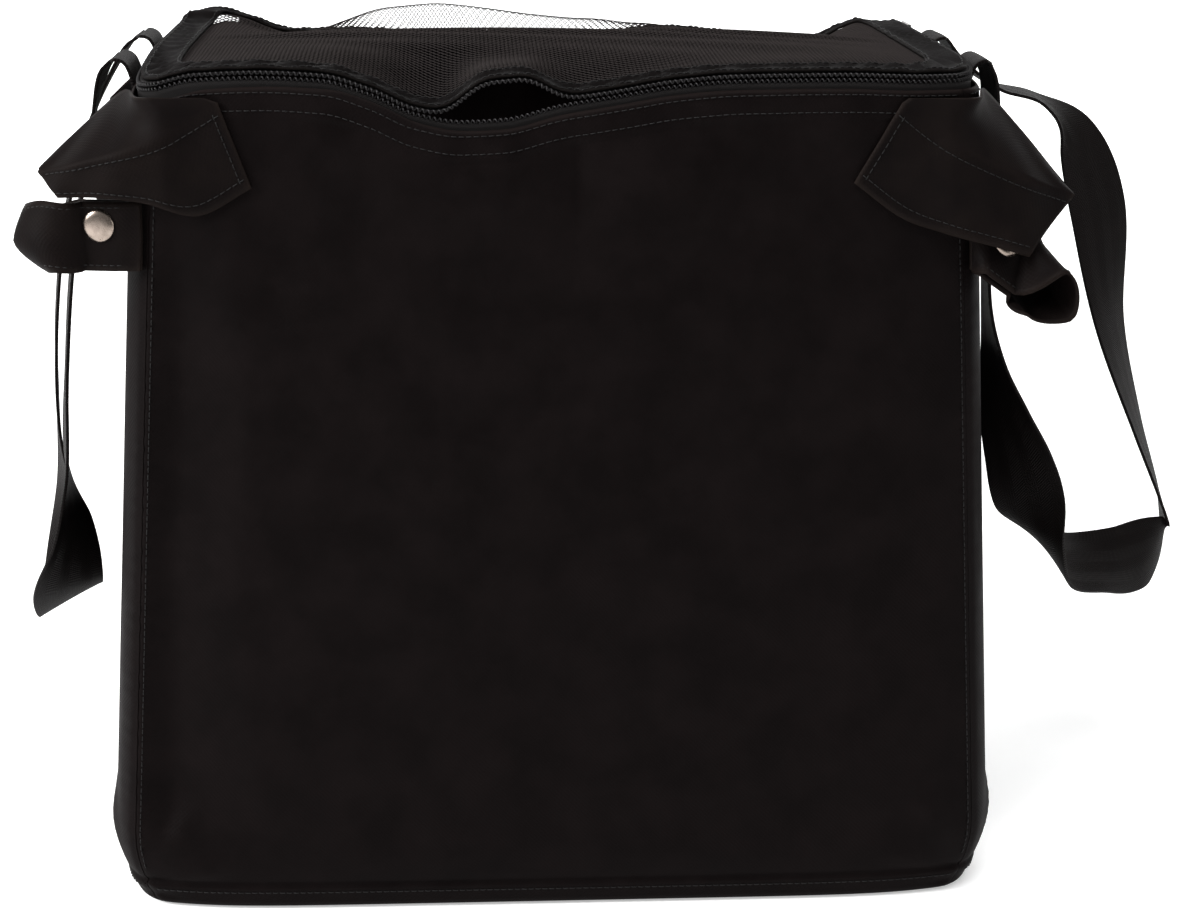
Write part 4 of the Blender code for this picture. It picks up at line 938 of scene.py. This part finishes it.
def off_walls(points, sign_x, sign_y, distance):
    """Moves points of one corner out to a distance from the bag's real skin."""
    x, y, z = points.T
    half_x, half_y = seam_x(z), seam_y(z)
    front = "front" if sign_y < 0 else "back"
    side = "left" if sign_x < 0 else "right"
    on_front = np.abs(wall_skin(front, np.clip(sign_x * x / half_x, -1, 1), z)[:, 1]) + distance
    on_side = np.abs(wall_skin(side, np.clip(sign_y * y / half_y, -1, 1), z)[:, 0]) + distance
    free = np.clip((x - HOOD_SEWN_TO) / (HOOD_FREE_FROM - HOOD_SEWN_TO), 0.0, 1.0)
    front_y = on_front + np.maximum(0.0, y - on_front) * free
    side_x = np.maximum(x, on_side)
    away = joined(x - half_x, y - half_y)
    far = np.linalg.norm(away, axis=1)
    push = np.where(far < distance, 1.0, 0.0)[:, None]
    corner = joined(half_x, half_y) + away * (1 - push) + push * distance / 2**0.5
    new_x = np.where(x < half_x, x, np.where(y < half_y, side_x, corner[:, 0]))
    new_y = np.where(x < half_x, front_y, np.where(y < half_y, y, corner[:, 1]))
    return joined(sign_x * new_x, sign_y * new_y, z)


hood_cloth = oxford_cloth("hood_oxford_cloth", "#120e0d", "#1a1513", "#0c0909", 0.52)
for corner, (sign_x, sign_y) in CORNERS.items():
    start = np.array([SEAM_X_TOP, SEAM_Y + CORNER_ROUND, RIM_HEIGHT])
    shape = {key: smooth_rows(start + np.array(points) / 1000 * (1, 1, -1), HOOD_COLUMNS)
        for key, points in hood_shape(corner).items()}
    layers, seat = [], HOOD_SEAT + HOOD_CLOTH / 2 + 0.0002
    for v in np.linspace(-1, 1, HOOD_ROWS):
        if v < 0:
            line = shape["lower"] * -v + shape["ridge"] * (1 + v)
        else:
            line = shape["ridge"] * (1 - v) + shape["upper"] * v
        u = np.linspace(0, 1, HOOD_COLUMNS)
        puff = HOOD_PUFF * sin(pi * min(1.0, abs(v))) * np.sin(pi * u) ** 0.8
        ripple = HOOD_RIPPLE * np.sin(19 * u + 5 * v + sign_x) * ramp(0.35, 0.7, u)
        turned = HOOD_HEM * (hill(v, -0.93, 0.05) + hill(v, -0.06, 0.05) + hill(u, 0.03, 0.02))
        out = np.where(line[:, 0] > HOOD_SEWN_TO, puff + ripple, 0.0) + turned
        line = line + joined(0.3 * out * ramp(0.5, 1.0, u), out, 0 * out)
        layers.append(off_walls(line, sign_x, sign_y, seat))
    points = np.stack(layers)
    down = lengths_of(points[:, HOOD_COLUMNS // 2])
    ridge = lengths_of(points[HOOD_ROWS // 2])
    flat = crossed(down, ridge)
    hood = piece("hood_" + corner + "_cloth", sheet_mesh("hood", points, flat[..., ::-1] * 1000),
        hood_cloth, "bag", ["hood_" + corner])
    thicken(hood, HOOD_CLOTH)
    normal = unit(np.cross(np.gradient(points, axis=1), np.gradient(points, axis=0)))
    normal = normal * np.sign(normal[8, HOOD_COLUMNS // 2, 1] * sign_y)
    skin = points + normal * HOOD_CLOTH / 2
    rows = [(skin[k], normal[k]) for k in (2, HOOD_ROWS // 2 - 2)]
    rows.append((skin[1:HOOD_ROWS // 2, 2], normal[1:HOOD_ROWS // 2, 2]))
    sewn = stitch_piece("hood_" + corner + "_stitches", rows, "bag")


# The snap straps: strips of the wall cloth folded double with turned edges, sewn into the corner
# seams. Each closes round the cart's arm in a soft loop and is held by a spring snap.

STRAP_WIDTH = 0.032
STRAP_CLOTH = 0.0012
STRAP_START = 0.0009
STRAP_ROOT_OUT = 0.0008
STRAP_ROOT_FLAT = 0.0035
STRAP_LAYERS = 0.00078
STRAP_HEM = 0.00035
STRAP_CURL = 0.0012
STRAP_STITCH_ROWS = (1, 11)
STITCH_SUNK = 0.0002
SNAP_X = 0.0205
SNAP_FLAT = 0.0083
SNAP_ABOVE_CENTRE = 0.005
SNAP_HALF_SPACE = 0.0018
SNAP_NEAR = SNAP_X - SNAP_FLAT
SNAP_FAR = SNAP_X + SNAP_FLAT
STRAPS = {
    "front_left": dict(below_hood=0.0005, back=16, reach=0.064, gape=0.0075, tilt=0, droop=5,
                       root=0, tip=16, low_trim=0.29, high_trim=0.08, rate=1.6),
    "front_right": dict(below_hood=-0.0160, back=5, reach=0.053, gape=0.0110, tilt=32, droop=8,
                        root=-30, tip=-80, low_trim=0.0, high_trim=0.10, rate=2.5),
    "back_left": dict(below_hood=0.0070, back=10, reach=0.060, gape=0.0110, tilt=0, droop=14,
                      root=0, tip=38, low_trim=0.10, high_trim=0.0, rate=1.6),
    "back_right": dict(below_hood=0.0050, back=18, reach=0.063, gape=0.0090, tilt=0, droop=9,
                       root=0, tip=-14, low_trim=0.0, high_trim=0.08, rate=1.6),
}


def strap_half(shape, x):
    """Half the spread of a strap's two layers at a distance from its seam."""
    flat = SNAP_HALF_SPACE + STRAP_CLOTH / 2
    if x <= SNAP_NEAR:
        return STRAP_LAYERS + (flat - STRAP_LAYERS) * ramp(0.0, SNAP_NEAR, x)
    if x <= SNAP_FAR:
        return flat
    share = min(1.0, (x - SNAP_FAR) / (shape["reach"] - SNAP_FAR))
    return flat * (1 - share**2) ** 0.5 + shape["gape"] * max(0.0, sin(pi * share**0.8)) ** 0.8


def strap_frame(corner, x):
    """A strap's middle, its run and thickness, and its half width, at a distance out."""
    shape = STRAPS[corner]
    sign_x, sign_y = CORNERS[corner]
    hood_low = RIM_HEIGHT - hood_shape(corner)["lower"][2][2] / 1000
    z = hood_low - shape["below_hood"] - STRAP_WIDTH / 2
    back, tilt, droop = radians(shape["back"]), radians(shape["tilt"]), radians(shape["droop"])
    root = Vector((sign_x * (seam_x(z) + STRAP_ROOT_OUT), sign_y * (seam_y(z) + STRAP_ROOT_OUT), z))
    level = Vector((sign_x * cos(back), -sign_y * sin(back), 0.0))
    face = Vector((-level.y, level.x, 0.0)) * (sign_x * sign_y)
    share = x / shape["reach"]
    slope = tilt + droop * share
    upright = slope / 2 * ramp(0.0, SNAP_NEAR, x)
    run = level * cos(slope) - Vector((0, 0, 1)) * sin(slope)
    up = Vector((0, 0, 1)) * cos(upright) + level * sin(upright)
    turn = radians(shape["root"]) * ramp(STRAP_ROOT_FLAT, SNAP_NEAR, x)
    past = shape["rate"] * (x - SNAP_FAR) / (shape["reach"] - SNAP_FAR)
    turn += radians(shape["tip"] - shape["root"]) * ramp(0.0, 1.0, past)
    spin = Matrix.Rotation(turn, 3, run)
    lower = x * (sin(tilt) + sin(droop * min(share, 1.0) * 0.9))
    middle = root + level * (x * cos(tilt)) - Vector((0, 0, lower))
    return middle, run, spin @ face, (spin @ up) * (STRAP_WIDTH / 2 / cos(slope - upright))


def strap_spot(corner, x):
    """As strap_frame, but flat where the snap holds the layers together."""
    if not SNAP_NEAR <= x <= SNAP_FAR:
        return strap_frame(corner, x)
    middle, run, face, up = strap_frame(corner, SNAP_X)
    return middle + run * (x - SNAP_X), run, face, up


def trimmed(shape, x, u):
    """How far out a strap's loop gets at a place across its width: its fold is askew."""
    if x <= SNAP_FAR:
        return x
    share = shape["low_trim"] * max(-u, 0.0) ** 1.5 + shape["high_trim"] * max(u, 0.0) ** 1.5
    return SNAP_FAR + (x - SNAP_FAR) * (1 - shape["reach"] * share / (shape["reach"] - SNAP_FAR))


def turned_mesh(name, profile, frame, sides=40):
    """A turned piece: (radius, height) pairs in millimetres swept round Z, placed by frame."""
    work = bmesh.new()
    line = [work.verts.new((radius / 1000, 0.0, height / 1000)) for radius, height in profile]
    edges = [work.edges.new(pair) for pair in zip(line, line[1:])]
    bmesh.ops.spin(work, geom=line + edges, cent=(0, 0, 0), axis=(0, 0, 1), angle=2 * pi, steps=sides,
        use_merge=True)
    bmesh.ops.remove_doubles(work, verts=work.verts, dist=0.00001)
    bmesh.ops.recalc_face_normals(work, faces=work.faces)
    mesh = bpy.data.meshes.new(name)
    work.to_mesh(mesh)
    work.free()
    mesh.transform(frame)
    mesh.shade_smooth()
    mesh.set_sharp_from_angle(angle=radians(35))
    return mesh


# Nickel plate on pressed brass: bright, faintly warm, with a dull bloom where it is handled
nickel = mottled("nickel_plated_brass", "#a3968c", "#6f645c", 420.0, 4.0, 0.24, 1.0, (0.16, 0.36))[0]
SNAP_SURFACE = SNAP_HALF_SPACE + STRAP_CLOTH + 0.0002
SNAP_PROFILES = {
    "cap": [(0, 1.9), (2.4, 1.88), (4.8, 1.7), (6.4, 1.3), (7.2, 0.8), (7.6, 0.3), (7.7, 0),
        (7.3, -0.3), (6.8, -0.2), (1.7, 0), (1.7, -4), (0, -4)],
    "post": [(0, -0.1), (1.7, -0.1), (1.7, 0), (5, 0), (5.2, -0.3), (4.9, -0.8), (3.6, -0.9),
        (3, -0.4), (2.4, -0.2), (0, -0.2)],
    "socket": [(2.1, 0), (5.1, 0), (5.7, -0.5), (5.5, -1.4), (4.2, -1.42), (4, -1.2), (3.1, -1.2),
        (3, -0.6), (2.1, -0.5)],
    "stud": [(2.1, 0), (5, 0), (5.3, 0.3), (5, 0.8), (3.2, 0.9), (2.7, 1.3), (2.8, 1.9), (2.3, 2.2),
        (1.6, 2.1), (1.6, 1)],
}

for corner in CORNERS:
    shape = STRAPS[corner]
    reach, body = shape["reach"], "strap_" + corner
    bend = SNAP_FAR + (reach - SNAP_FAR) * np.sin(pi / 2 * np.linspace(0, 1, 30)[1:-1])
    stations = np.concatenate([np.linspace(STRAP_START, SNAP_FAR, 24), bend])
    path = [(x, strap_half(shape, x)) for x in stations]
    path = path + [(reach, 0.0)] + [(x, -y) for x, y in reversed(path)]
    across = np.linspace(-1, 1, 13)
    rows, outs = [], []
    for k, (x, y) in enumerate(path):
        away = 1.0 if y >= 0 else -1.0
        loose = float(ramp(SNAP_FAR, reach, x))
        share = k / (len(path) - 1)
        row = []
        for a in across.tolist():
            middle, run, face, up = strap_spot(corner, trimmed(shape, x, a))
            flare = max(0.0, seam_x(middle.z + up.z * a) - seam_x(middle.z))
            flare = Vector((CORNERS[corner][0] * flare * (1 - ramp(0.0, SNAP_NEAR, x)), 0.0, 0.0))
            hem = STRAP_HEM * float(hill(abs(a), 0.88, 0.08))
            curl = STRAP_CURL * loose * a * a * (0.4 + sin(7 * share + a))
            row.append(middle + face * (y + (hem + curl) * away) + up * a + flare)
        rows.append(row)
        outs.append(strap_spot(corner, x)[2] * away)
    points = np.array(rows)
    flat = crossed(lengths_of(points[:, 6]), (across + 1) * STRAP_WIDTH / 2) * 1000
    strap = piece("snap_strap_" + corner + "_cloth", sheet_mesh("strap", points, flat), hood_cloth,
        body, ["snap_strap_" + corner])
    thicken(strap, STRAP_CLOTH)
    outs = np.array(outs)
    sewn_rows = []
    half = len(path) // 2
    for k in STRAP_STITCH_ROWS:
        for part in (slice(6, half - 3), slice(half + 3, -6)):
            away = outs[part]
            sewn_rows.append((points[part, k] + away * (STRAP_CLOTH / 2 - STITCH_SUNK), away))
    sewn = stitch_piece("snap_strap_" + corner + "_stitches", sewn_rows, body)
    middle, run, face, up = strap_frame(corner, SNAP_X)
    up = up.normalized()
    middle = middle + up * SNAP_ABOVE_CENTRE
    turn = Matrix((up.cross(face), up, face)).transposed().to_4x4()
    seats = {"cap": SNAP_SURFACE, "post": -SNAP_SURFACE, "socket": SNAP_HALF_SPACE - 0.0002,
        "stud": -SNAP_HALF_SPACE + 0.0002}
    for kind, profile in SNAP_PROFILES.items():
        place = Matrix.Translation(middle) @ turn @ Matrix.Translation((0, 0, seats[kind]))
        named = "snap_" + kind + "_" + corner
        piece(named + "_plated", turned_mesh(named, profile, place), nickel, body, [named])


# The handles: 38 mm polypropylene webbing, woven in a fine herringbone. Each end is sewn up the
# side wall with a box of stitches, stands out over the rim in a stiff fold, and hangs in a loop.

HANDLE_WIDTH = 0.038
HANDLE_THICKNESS = 0.0016
HANDLE_LEG_Y = 0.052
HANDLE_SEWN_LENGTH = 0.050
HANDLE_STITCHED_TO = 0.020
PIVOT_X = SEAM_X_TOP + SIDE_ROUND + 0.0115
PIVOT_Z = RIM_HEIGHT + 0.003
ROOT_SEAT = 0.0006
# The sewn ends' route from the wall to the fold, in millimetres from the fold: (outward, up)
ROOT_ROUTE = ((-9.2, -14), (-7.8, -7.5), (-5.8, -2.9), (-3, -0.9), (0, -0.6))
BOX_INSET = 0.004
HERRINGBONE_MM = 1.5


def herringbone_webbing(name, colour, deep):
    """Polypropylene webbing: flat glossy yarns in a herringbone, whose ribs run aslant and turn
    back every sixth of the width, with a tight plain edge. A real rib is 1 mm; it is drawn at
    1.5 mm, so that it shows."""
    made, tree, shader = finish(name, 0.55, Specular_IOR_Level=0.04)
    place = node(tree, "ShaderNodeUVMap", uv_map="cloth")
    split = node(tree, "ShaderNodeSeparateXYZ", [(0, place)])
    zig = node(tree, "ShaderNodeMath", [(0, split.outputs[1]), (1, 6.4)], operation="PINGPONG")
    slant = node(tree, "ShaderNodeMath", [(0, zig), (1, 0.9), (2, split.outputs[0])],
        operation="MULTIPLY_ADD")
    rib = wave(tree, slant.outputs[0], HERRINGBONE_MM)
    warp = wave(tree, split.outputs[1], 1.3)
    weave = node(tree, "ShaderNodeMath", [(0, warp), (1, 0.35), (2, rib)], operation="MULTIPLY_ADD")
    dirt = node(tree, "ShaderNodeTexNoise", [("Vector", place), ("Scale", 0.06), ("Detail", 5.0),
        ("Roughness", 0.6)])
    shade = node(tree, "ShaderNodeMapRange", [("Value", weave), ("From Min", -1.2), ("From Max", 1.2)])
    patch = node(tree, "ShaderNodeMath", [(0, shade), (1, dirt)], operation="MULTIPLY")
    node(tree, "ShaderNodeMix", [(0, patch), (MIX_A, linear(deep)), (MIX_B, linear(colour))],
        feeds=shader.inputs["Base Color"], data_type="RGBA")
    node(tree, "ShaderNodeBump", [("Height", weave), ("Strength", 0.5), ("Distance", 0.0003)],
        feeds=shader.inputs["Normal"])
    return made


webbing = herringbone_webbing("herringbone_polypropylene_webbing", "#161211", "#090707")


def ribbon(name, points, widths, count, body, slot, cupped):
    """Webbing along points, its width turned to follow the given directions."""
    rows = smooth_rows([tuple(p) + tuple(w) for p, w in zip(points, widths)], count)
    middle, turns = rows[:, :3], rows[:, 3:]
    run = unit(np.gradient(middle, axis=0))
    width = unit(turns - run * np.sum(turns * run, 1)[:, None])
    face = np.cross(run, width)
    across = np.linspace(-1, 1, 15)
    hump = cupped * (across**2)[None, :] * (0.5 + 0.5 * np.sin(np.linspace(0, 9, count)))[:, None]
    edge = -0.00025 * hill(np.abs(across), 0.96, 0.05)[None, :]
    grid = middle[:, None] + width[:, None] * (across[None, :, None] * HANDLE_WIDTH / 2)
    grid = grid + face[:, None] * (hump + edge)[..., None]
    flat = crossed(lengths_of(middle), (across + 1) * HANDLE_WIDTH / 2) * 1000
    made = piece(name + "_webbing", sheet_mesh(name, grid, flat), webbing, body, [slot])
    thicken(made, HANDLE_THICKNESS, 0.0, 0.0004)
    return made, float(lengths_of(grid[:, 7])[-1])


def side_out(z):
    return float(wall_frame("right", HANDLE_LEG_Y / SEAM_Y, z)[0])


for side, sign_x in (("left", -1), ("right", 1)):
    for end, leg_y in (("front", -HANDLE_LEG_Y), ("back", HANDLE_LEG_Y)):
        name = "handle_root_" + side + "_" + end
        seat = ROOT_SEAT + HANDLE_THICKNESS / 2
        high = RIM_HEIGHT - HANDLE_STITCHED_TO
        low = high - HANDLE_SEWN_LENGTH
        fold = [(side_out(z) + seat, z) for z in np.linspace(low, high, 4)]
        fold += [(PIVOT_X + x / 1000, PIVOT_Z + z / 1000) for x, z in ROOT_ROUTE]
        route = [(sign_x * x, leg_y, z) for x, z in fold]
        ribbon(name, route, [(0, 1, 0)] * len(route), 60, "bag", name, 0.0)
        z = np.linspace(low + BOX_INSET, high - BOX_INSET / 2, 30)
        y = leg_y + np.array([-1, 1]) * (HANDLE_WIDTH / 2 - BOX_INSET)
        x = sign_x * np.array([side_out(value) + seat + HANDLE_THICKNESS / 2 for value in z])
        tall = [joined(x, edge, z) for edge in y]
        level = [joined(x[k], np.linspace(*y, 20), z[k]) for k in (0, -1)]
        cross = [joined(x, np.linspace(*ends, 30), z) for ends in (y, y[::-1])]
        box = [(line, np.tile((sign_x, 0.0, 0.0), (len(line), 1))) for line in tall + level + cross]
        stitch_piece(name + "_box_stitches", box, "bag")

# The loops' routes, from the front fold to the back one: each place in millimetres as (outward
# from the fold, along Y, below the fold), with its width's direction as (outward, along Y, up)
LEFT_LOOP = [
    ((1.2, -52, 1.4), (0, -1, 0)),
    ((7, -52, 9), (0, -1, 0)),
    ((13, -52, 33), (-0.1, -1, 0)),
    ((25.5, -52, 98), (-0.16, -1, 0)),
    ((31.5, -52, 154), (-0.16, -1, 0)),
    ((34.5, -52, 205), (-0.16, -1, 0)),
    ((34, -50, 240), (0.35, -0.95, 0)),
    ((40, -34, 274), (0.9, -0.45, -0.2)),
    ((45, 2, 292), (0.85, -0.1, -0.5)),
    ((49, 34, 280), (0.8, 0.5, -0.3)),
    ((53, 52, 244), (0.35, 0.9, 0)),
    ((55, 56, 205), (0.16, 1, 0)),
    ((53, 56, 154), (0.16, 1, 0)),
    ((45, 55, 98), (0.16, 1, 0)),
    ((29, 53, 46), (0.1, 1, 0)),
    ((10, 52, 10), (0, 1, 0)),
    ((1.2, 52, 1.4), (0, 1, 0)),
]
RIGHT_LOOP = [
    ((0.9, -52, 0.9), (0, -1, 0)),
    ((5.5, -52, 13), (0, -1, 0)),
    ((6.8, -54, 40), (0, -1, 0)),
    ((7, -56, 80), (-0.1, -1, 0)),
    ((8.5, -58, 120), (-0.1, -1, 0)),
    ((13, -60, 150), (0.1, -1, 0)),
    ((19.5, -60, 176), (0.5, -0.9, 0)),
    ((29, -58, 203), (0.8, -0.6, 0)),
    ((36, -54, 225), (0.9, -0.4, 0)),
    ((44, -46, 248), (0.5, -0.85, -0.1)),
    ((61, -26, 268), (-0.1, -0.95, -0.25)),
    ((89, 8, 282), (-0.1, -0.9, -0.4)),
    ((119, 40, 290), (-0.1, -0.6, -0.8)),
    ((141, 58, 284), (0.1, 0.5, -0.9)),
    ((143, 63, 268), (0.2, 1, -0.1)),
    ((125, 64, 218), (0.35, 0.95, 0)),
    ((106, 63, 160), (0.6, 0.8, 0)),
    ((94.5, 61, 96), (0.9, 0.45, 0)),
    ((79, 59, 56), (0.75, 0.65, -0.1)),
    ((56, 56, 35), (0.15, 1, 0)),
    ((30, 53, 27), (0, 1, 0)),
    ((10.5, 52, 12), (0, 1, 0)),
    ((1, 52, 0.9), (0, 1, 0)),
]
for side, sign_x, loop in (("left", -1, LEFT_LOOP), ("right", 1, RIGHT_LOOP)):
    places = [(sign_x * (PIVOT_X + x / 1000), y / 1000, PIVOT_Z - z / 1000) for (x, y, z), _ in loop]
    turns = [(sign_x * x, y, z) for _, (x, y, z) in loop]
    made, length = ribbon("handle_" + side, places, turns, 240, side + "_handle", "handle_" + side,
        0.0006)


# The stage: a pale paper sweep whose material glows, painted light that is stronger far behind the bag,
# a broad soft light on the left, a weaker one on the right, one overhead, and the camera at the
# photograph's place.

paper, tree, shader = finish("glowing_pale_paper", 0.9)
shader.inputs["Base Color"].default_value = linear("#f2f2f2")
# Painted light: the paper's material glows white, faintly near the bag and fully far behind it
shader.inputs["Emission Color"].default_value = linear("#ffffff")
place = node(tree, "ShaderNodeTexCoord")
split = node(tree, "ShaderNodeSeparateXYZ", [("Vector", place.outputs["Object"])])
node(tree, "ShaderNodeMapRange", [("Value", split.outputs["Y"]), ("From Min", 0.8), ("From Max", 2.2),
    ("To Min", 0.40), ("To Max", 1.0)], feeds=shader.inputs["Emission Strength"])
PAPER_HALF_WIDTH = 4.0
PAPER_SWEEP = ((-2.4, 0.0), (0.0, 0.0), (1.4, 0.0), (2.2, 0.0), (3.0, 0.08), (3.5, 0.4),
    (3.65, 0.9), (3.7, 3.0))
sweep = smooth_rows([(0.0, y, z) for y, z in PAPER_SWEEP], 60)
paper_x = np.array([-1, 0, 1])[:, None] * PAPER_HALF_WIDTH
paper_points = joined(paper_x, sweep[:, 1], sweep[:, 2])
paper_uv = crossed([0.0, 1.0, 2.0], np.arange(60.0))
floor = placed("paper_sweep", sheet_mesh("paper_sweep", paper_points, paper_uv), paper)

world = bpy.data.worlds.new("studio")
world.use_nodes = True
world.node_tree.nodes["Background"].inputs["Color"].default_value = linear("#ffffff")
world.node_tree.nodes["Background"].inputs["Strength"].default_value = 0.28
bpy.context.scene.world = world
bpy.context.scene.view_settings.view_transform = "Standard"

# Each light: its name, its place, its size in metres and its power in watts
LIGHTS = (("key_left", (-2.2, -0.6, 1.3), 1.0, 90.0), ("fill_right", (1.8, -1.0, 0.9), 1.2, 8.0),
    ("overhead", (0.1, -0.6, 1.9), 1.2, 32.0))
for name, place, size, power in LIGHTS:
    lamp = bpy.data.lights.new(name, "AREA")
    lamp.energy = power
    lamp.size = size
    lamp_object = bpy.data.objects.new(name, lamp)
    lamp_object.location = place
    aim = Vector((0, 0, 0.2)) - Vector(place)
    lamp_object.rotation_euler = aim.to_track_quat("-Z", "Y").to_euler()
    bpy.context.scene.collection.objects.link(lamp_object)

IMAGE_WIDTH_PX = 1200
FOCAL_PX = 2433
SENSOR_MM = 36.0
CAMERA_PLACE = (-0.0505, -1.2383, 0.5432)
YAW, PITCH, ROLL = 0.0629, 0.2772, 0.0083
camera = bpy.data.cameras.new("camera")
camera.sensor_width = SENSOR_MM
camera.lens = FOCAL_PX * SENSOR_MM / IMAGE_WIDTH_PX
camera_object = bpy.data.objects.new("camera", camera)
forward = Vector((sin(YAW) * cos(PITCH), cos(YAW) * cos(PITCH), -sin(PITCH)))
level = Vector((cos(YAW), -sin(YAW), 0.0))
above = level.cross(forward)
across = level * cos(ROLL) + above * sin(ROLL)
upward = above * cos(ROLL) - level * sin(ROLL)
turn = Matrix((across, upward, -forward)).transposed().to_4x4()
camera_object.matrix_world = Matrix.Translation(CAMERA_PLACE) @ turn
bpy.context.scene.collection.objects.link(camera_object)
bpy.context.scene.camera = camera_object
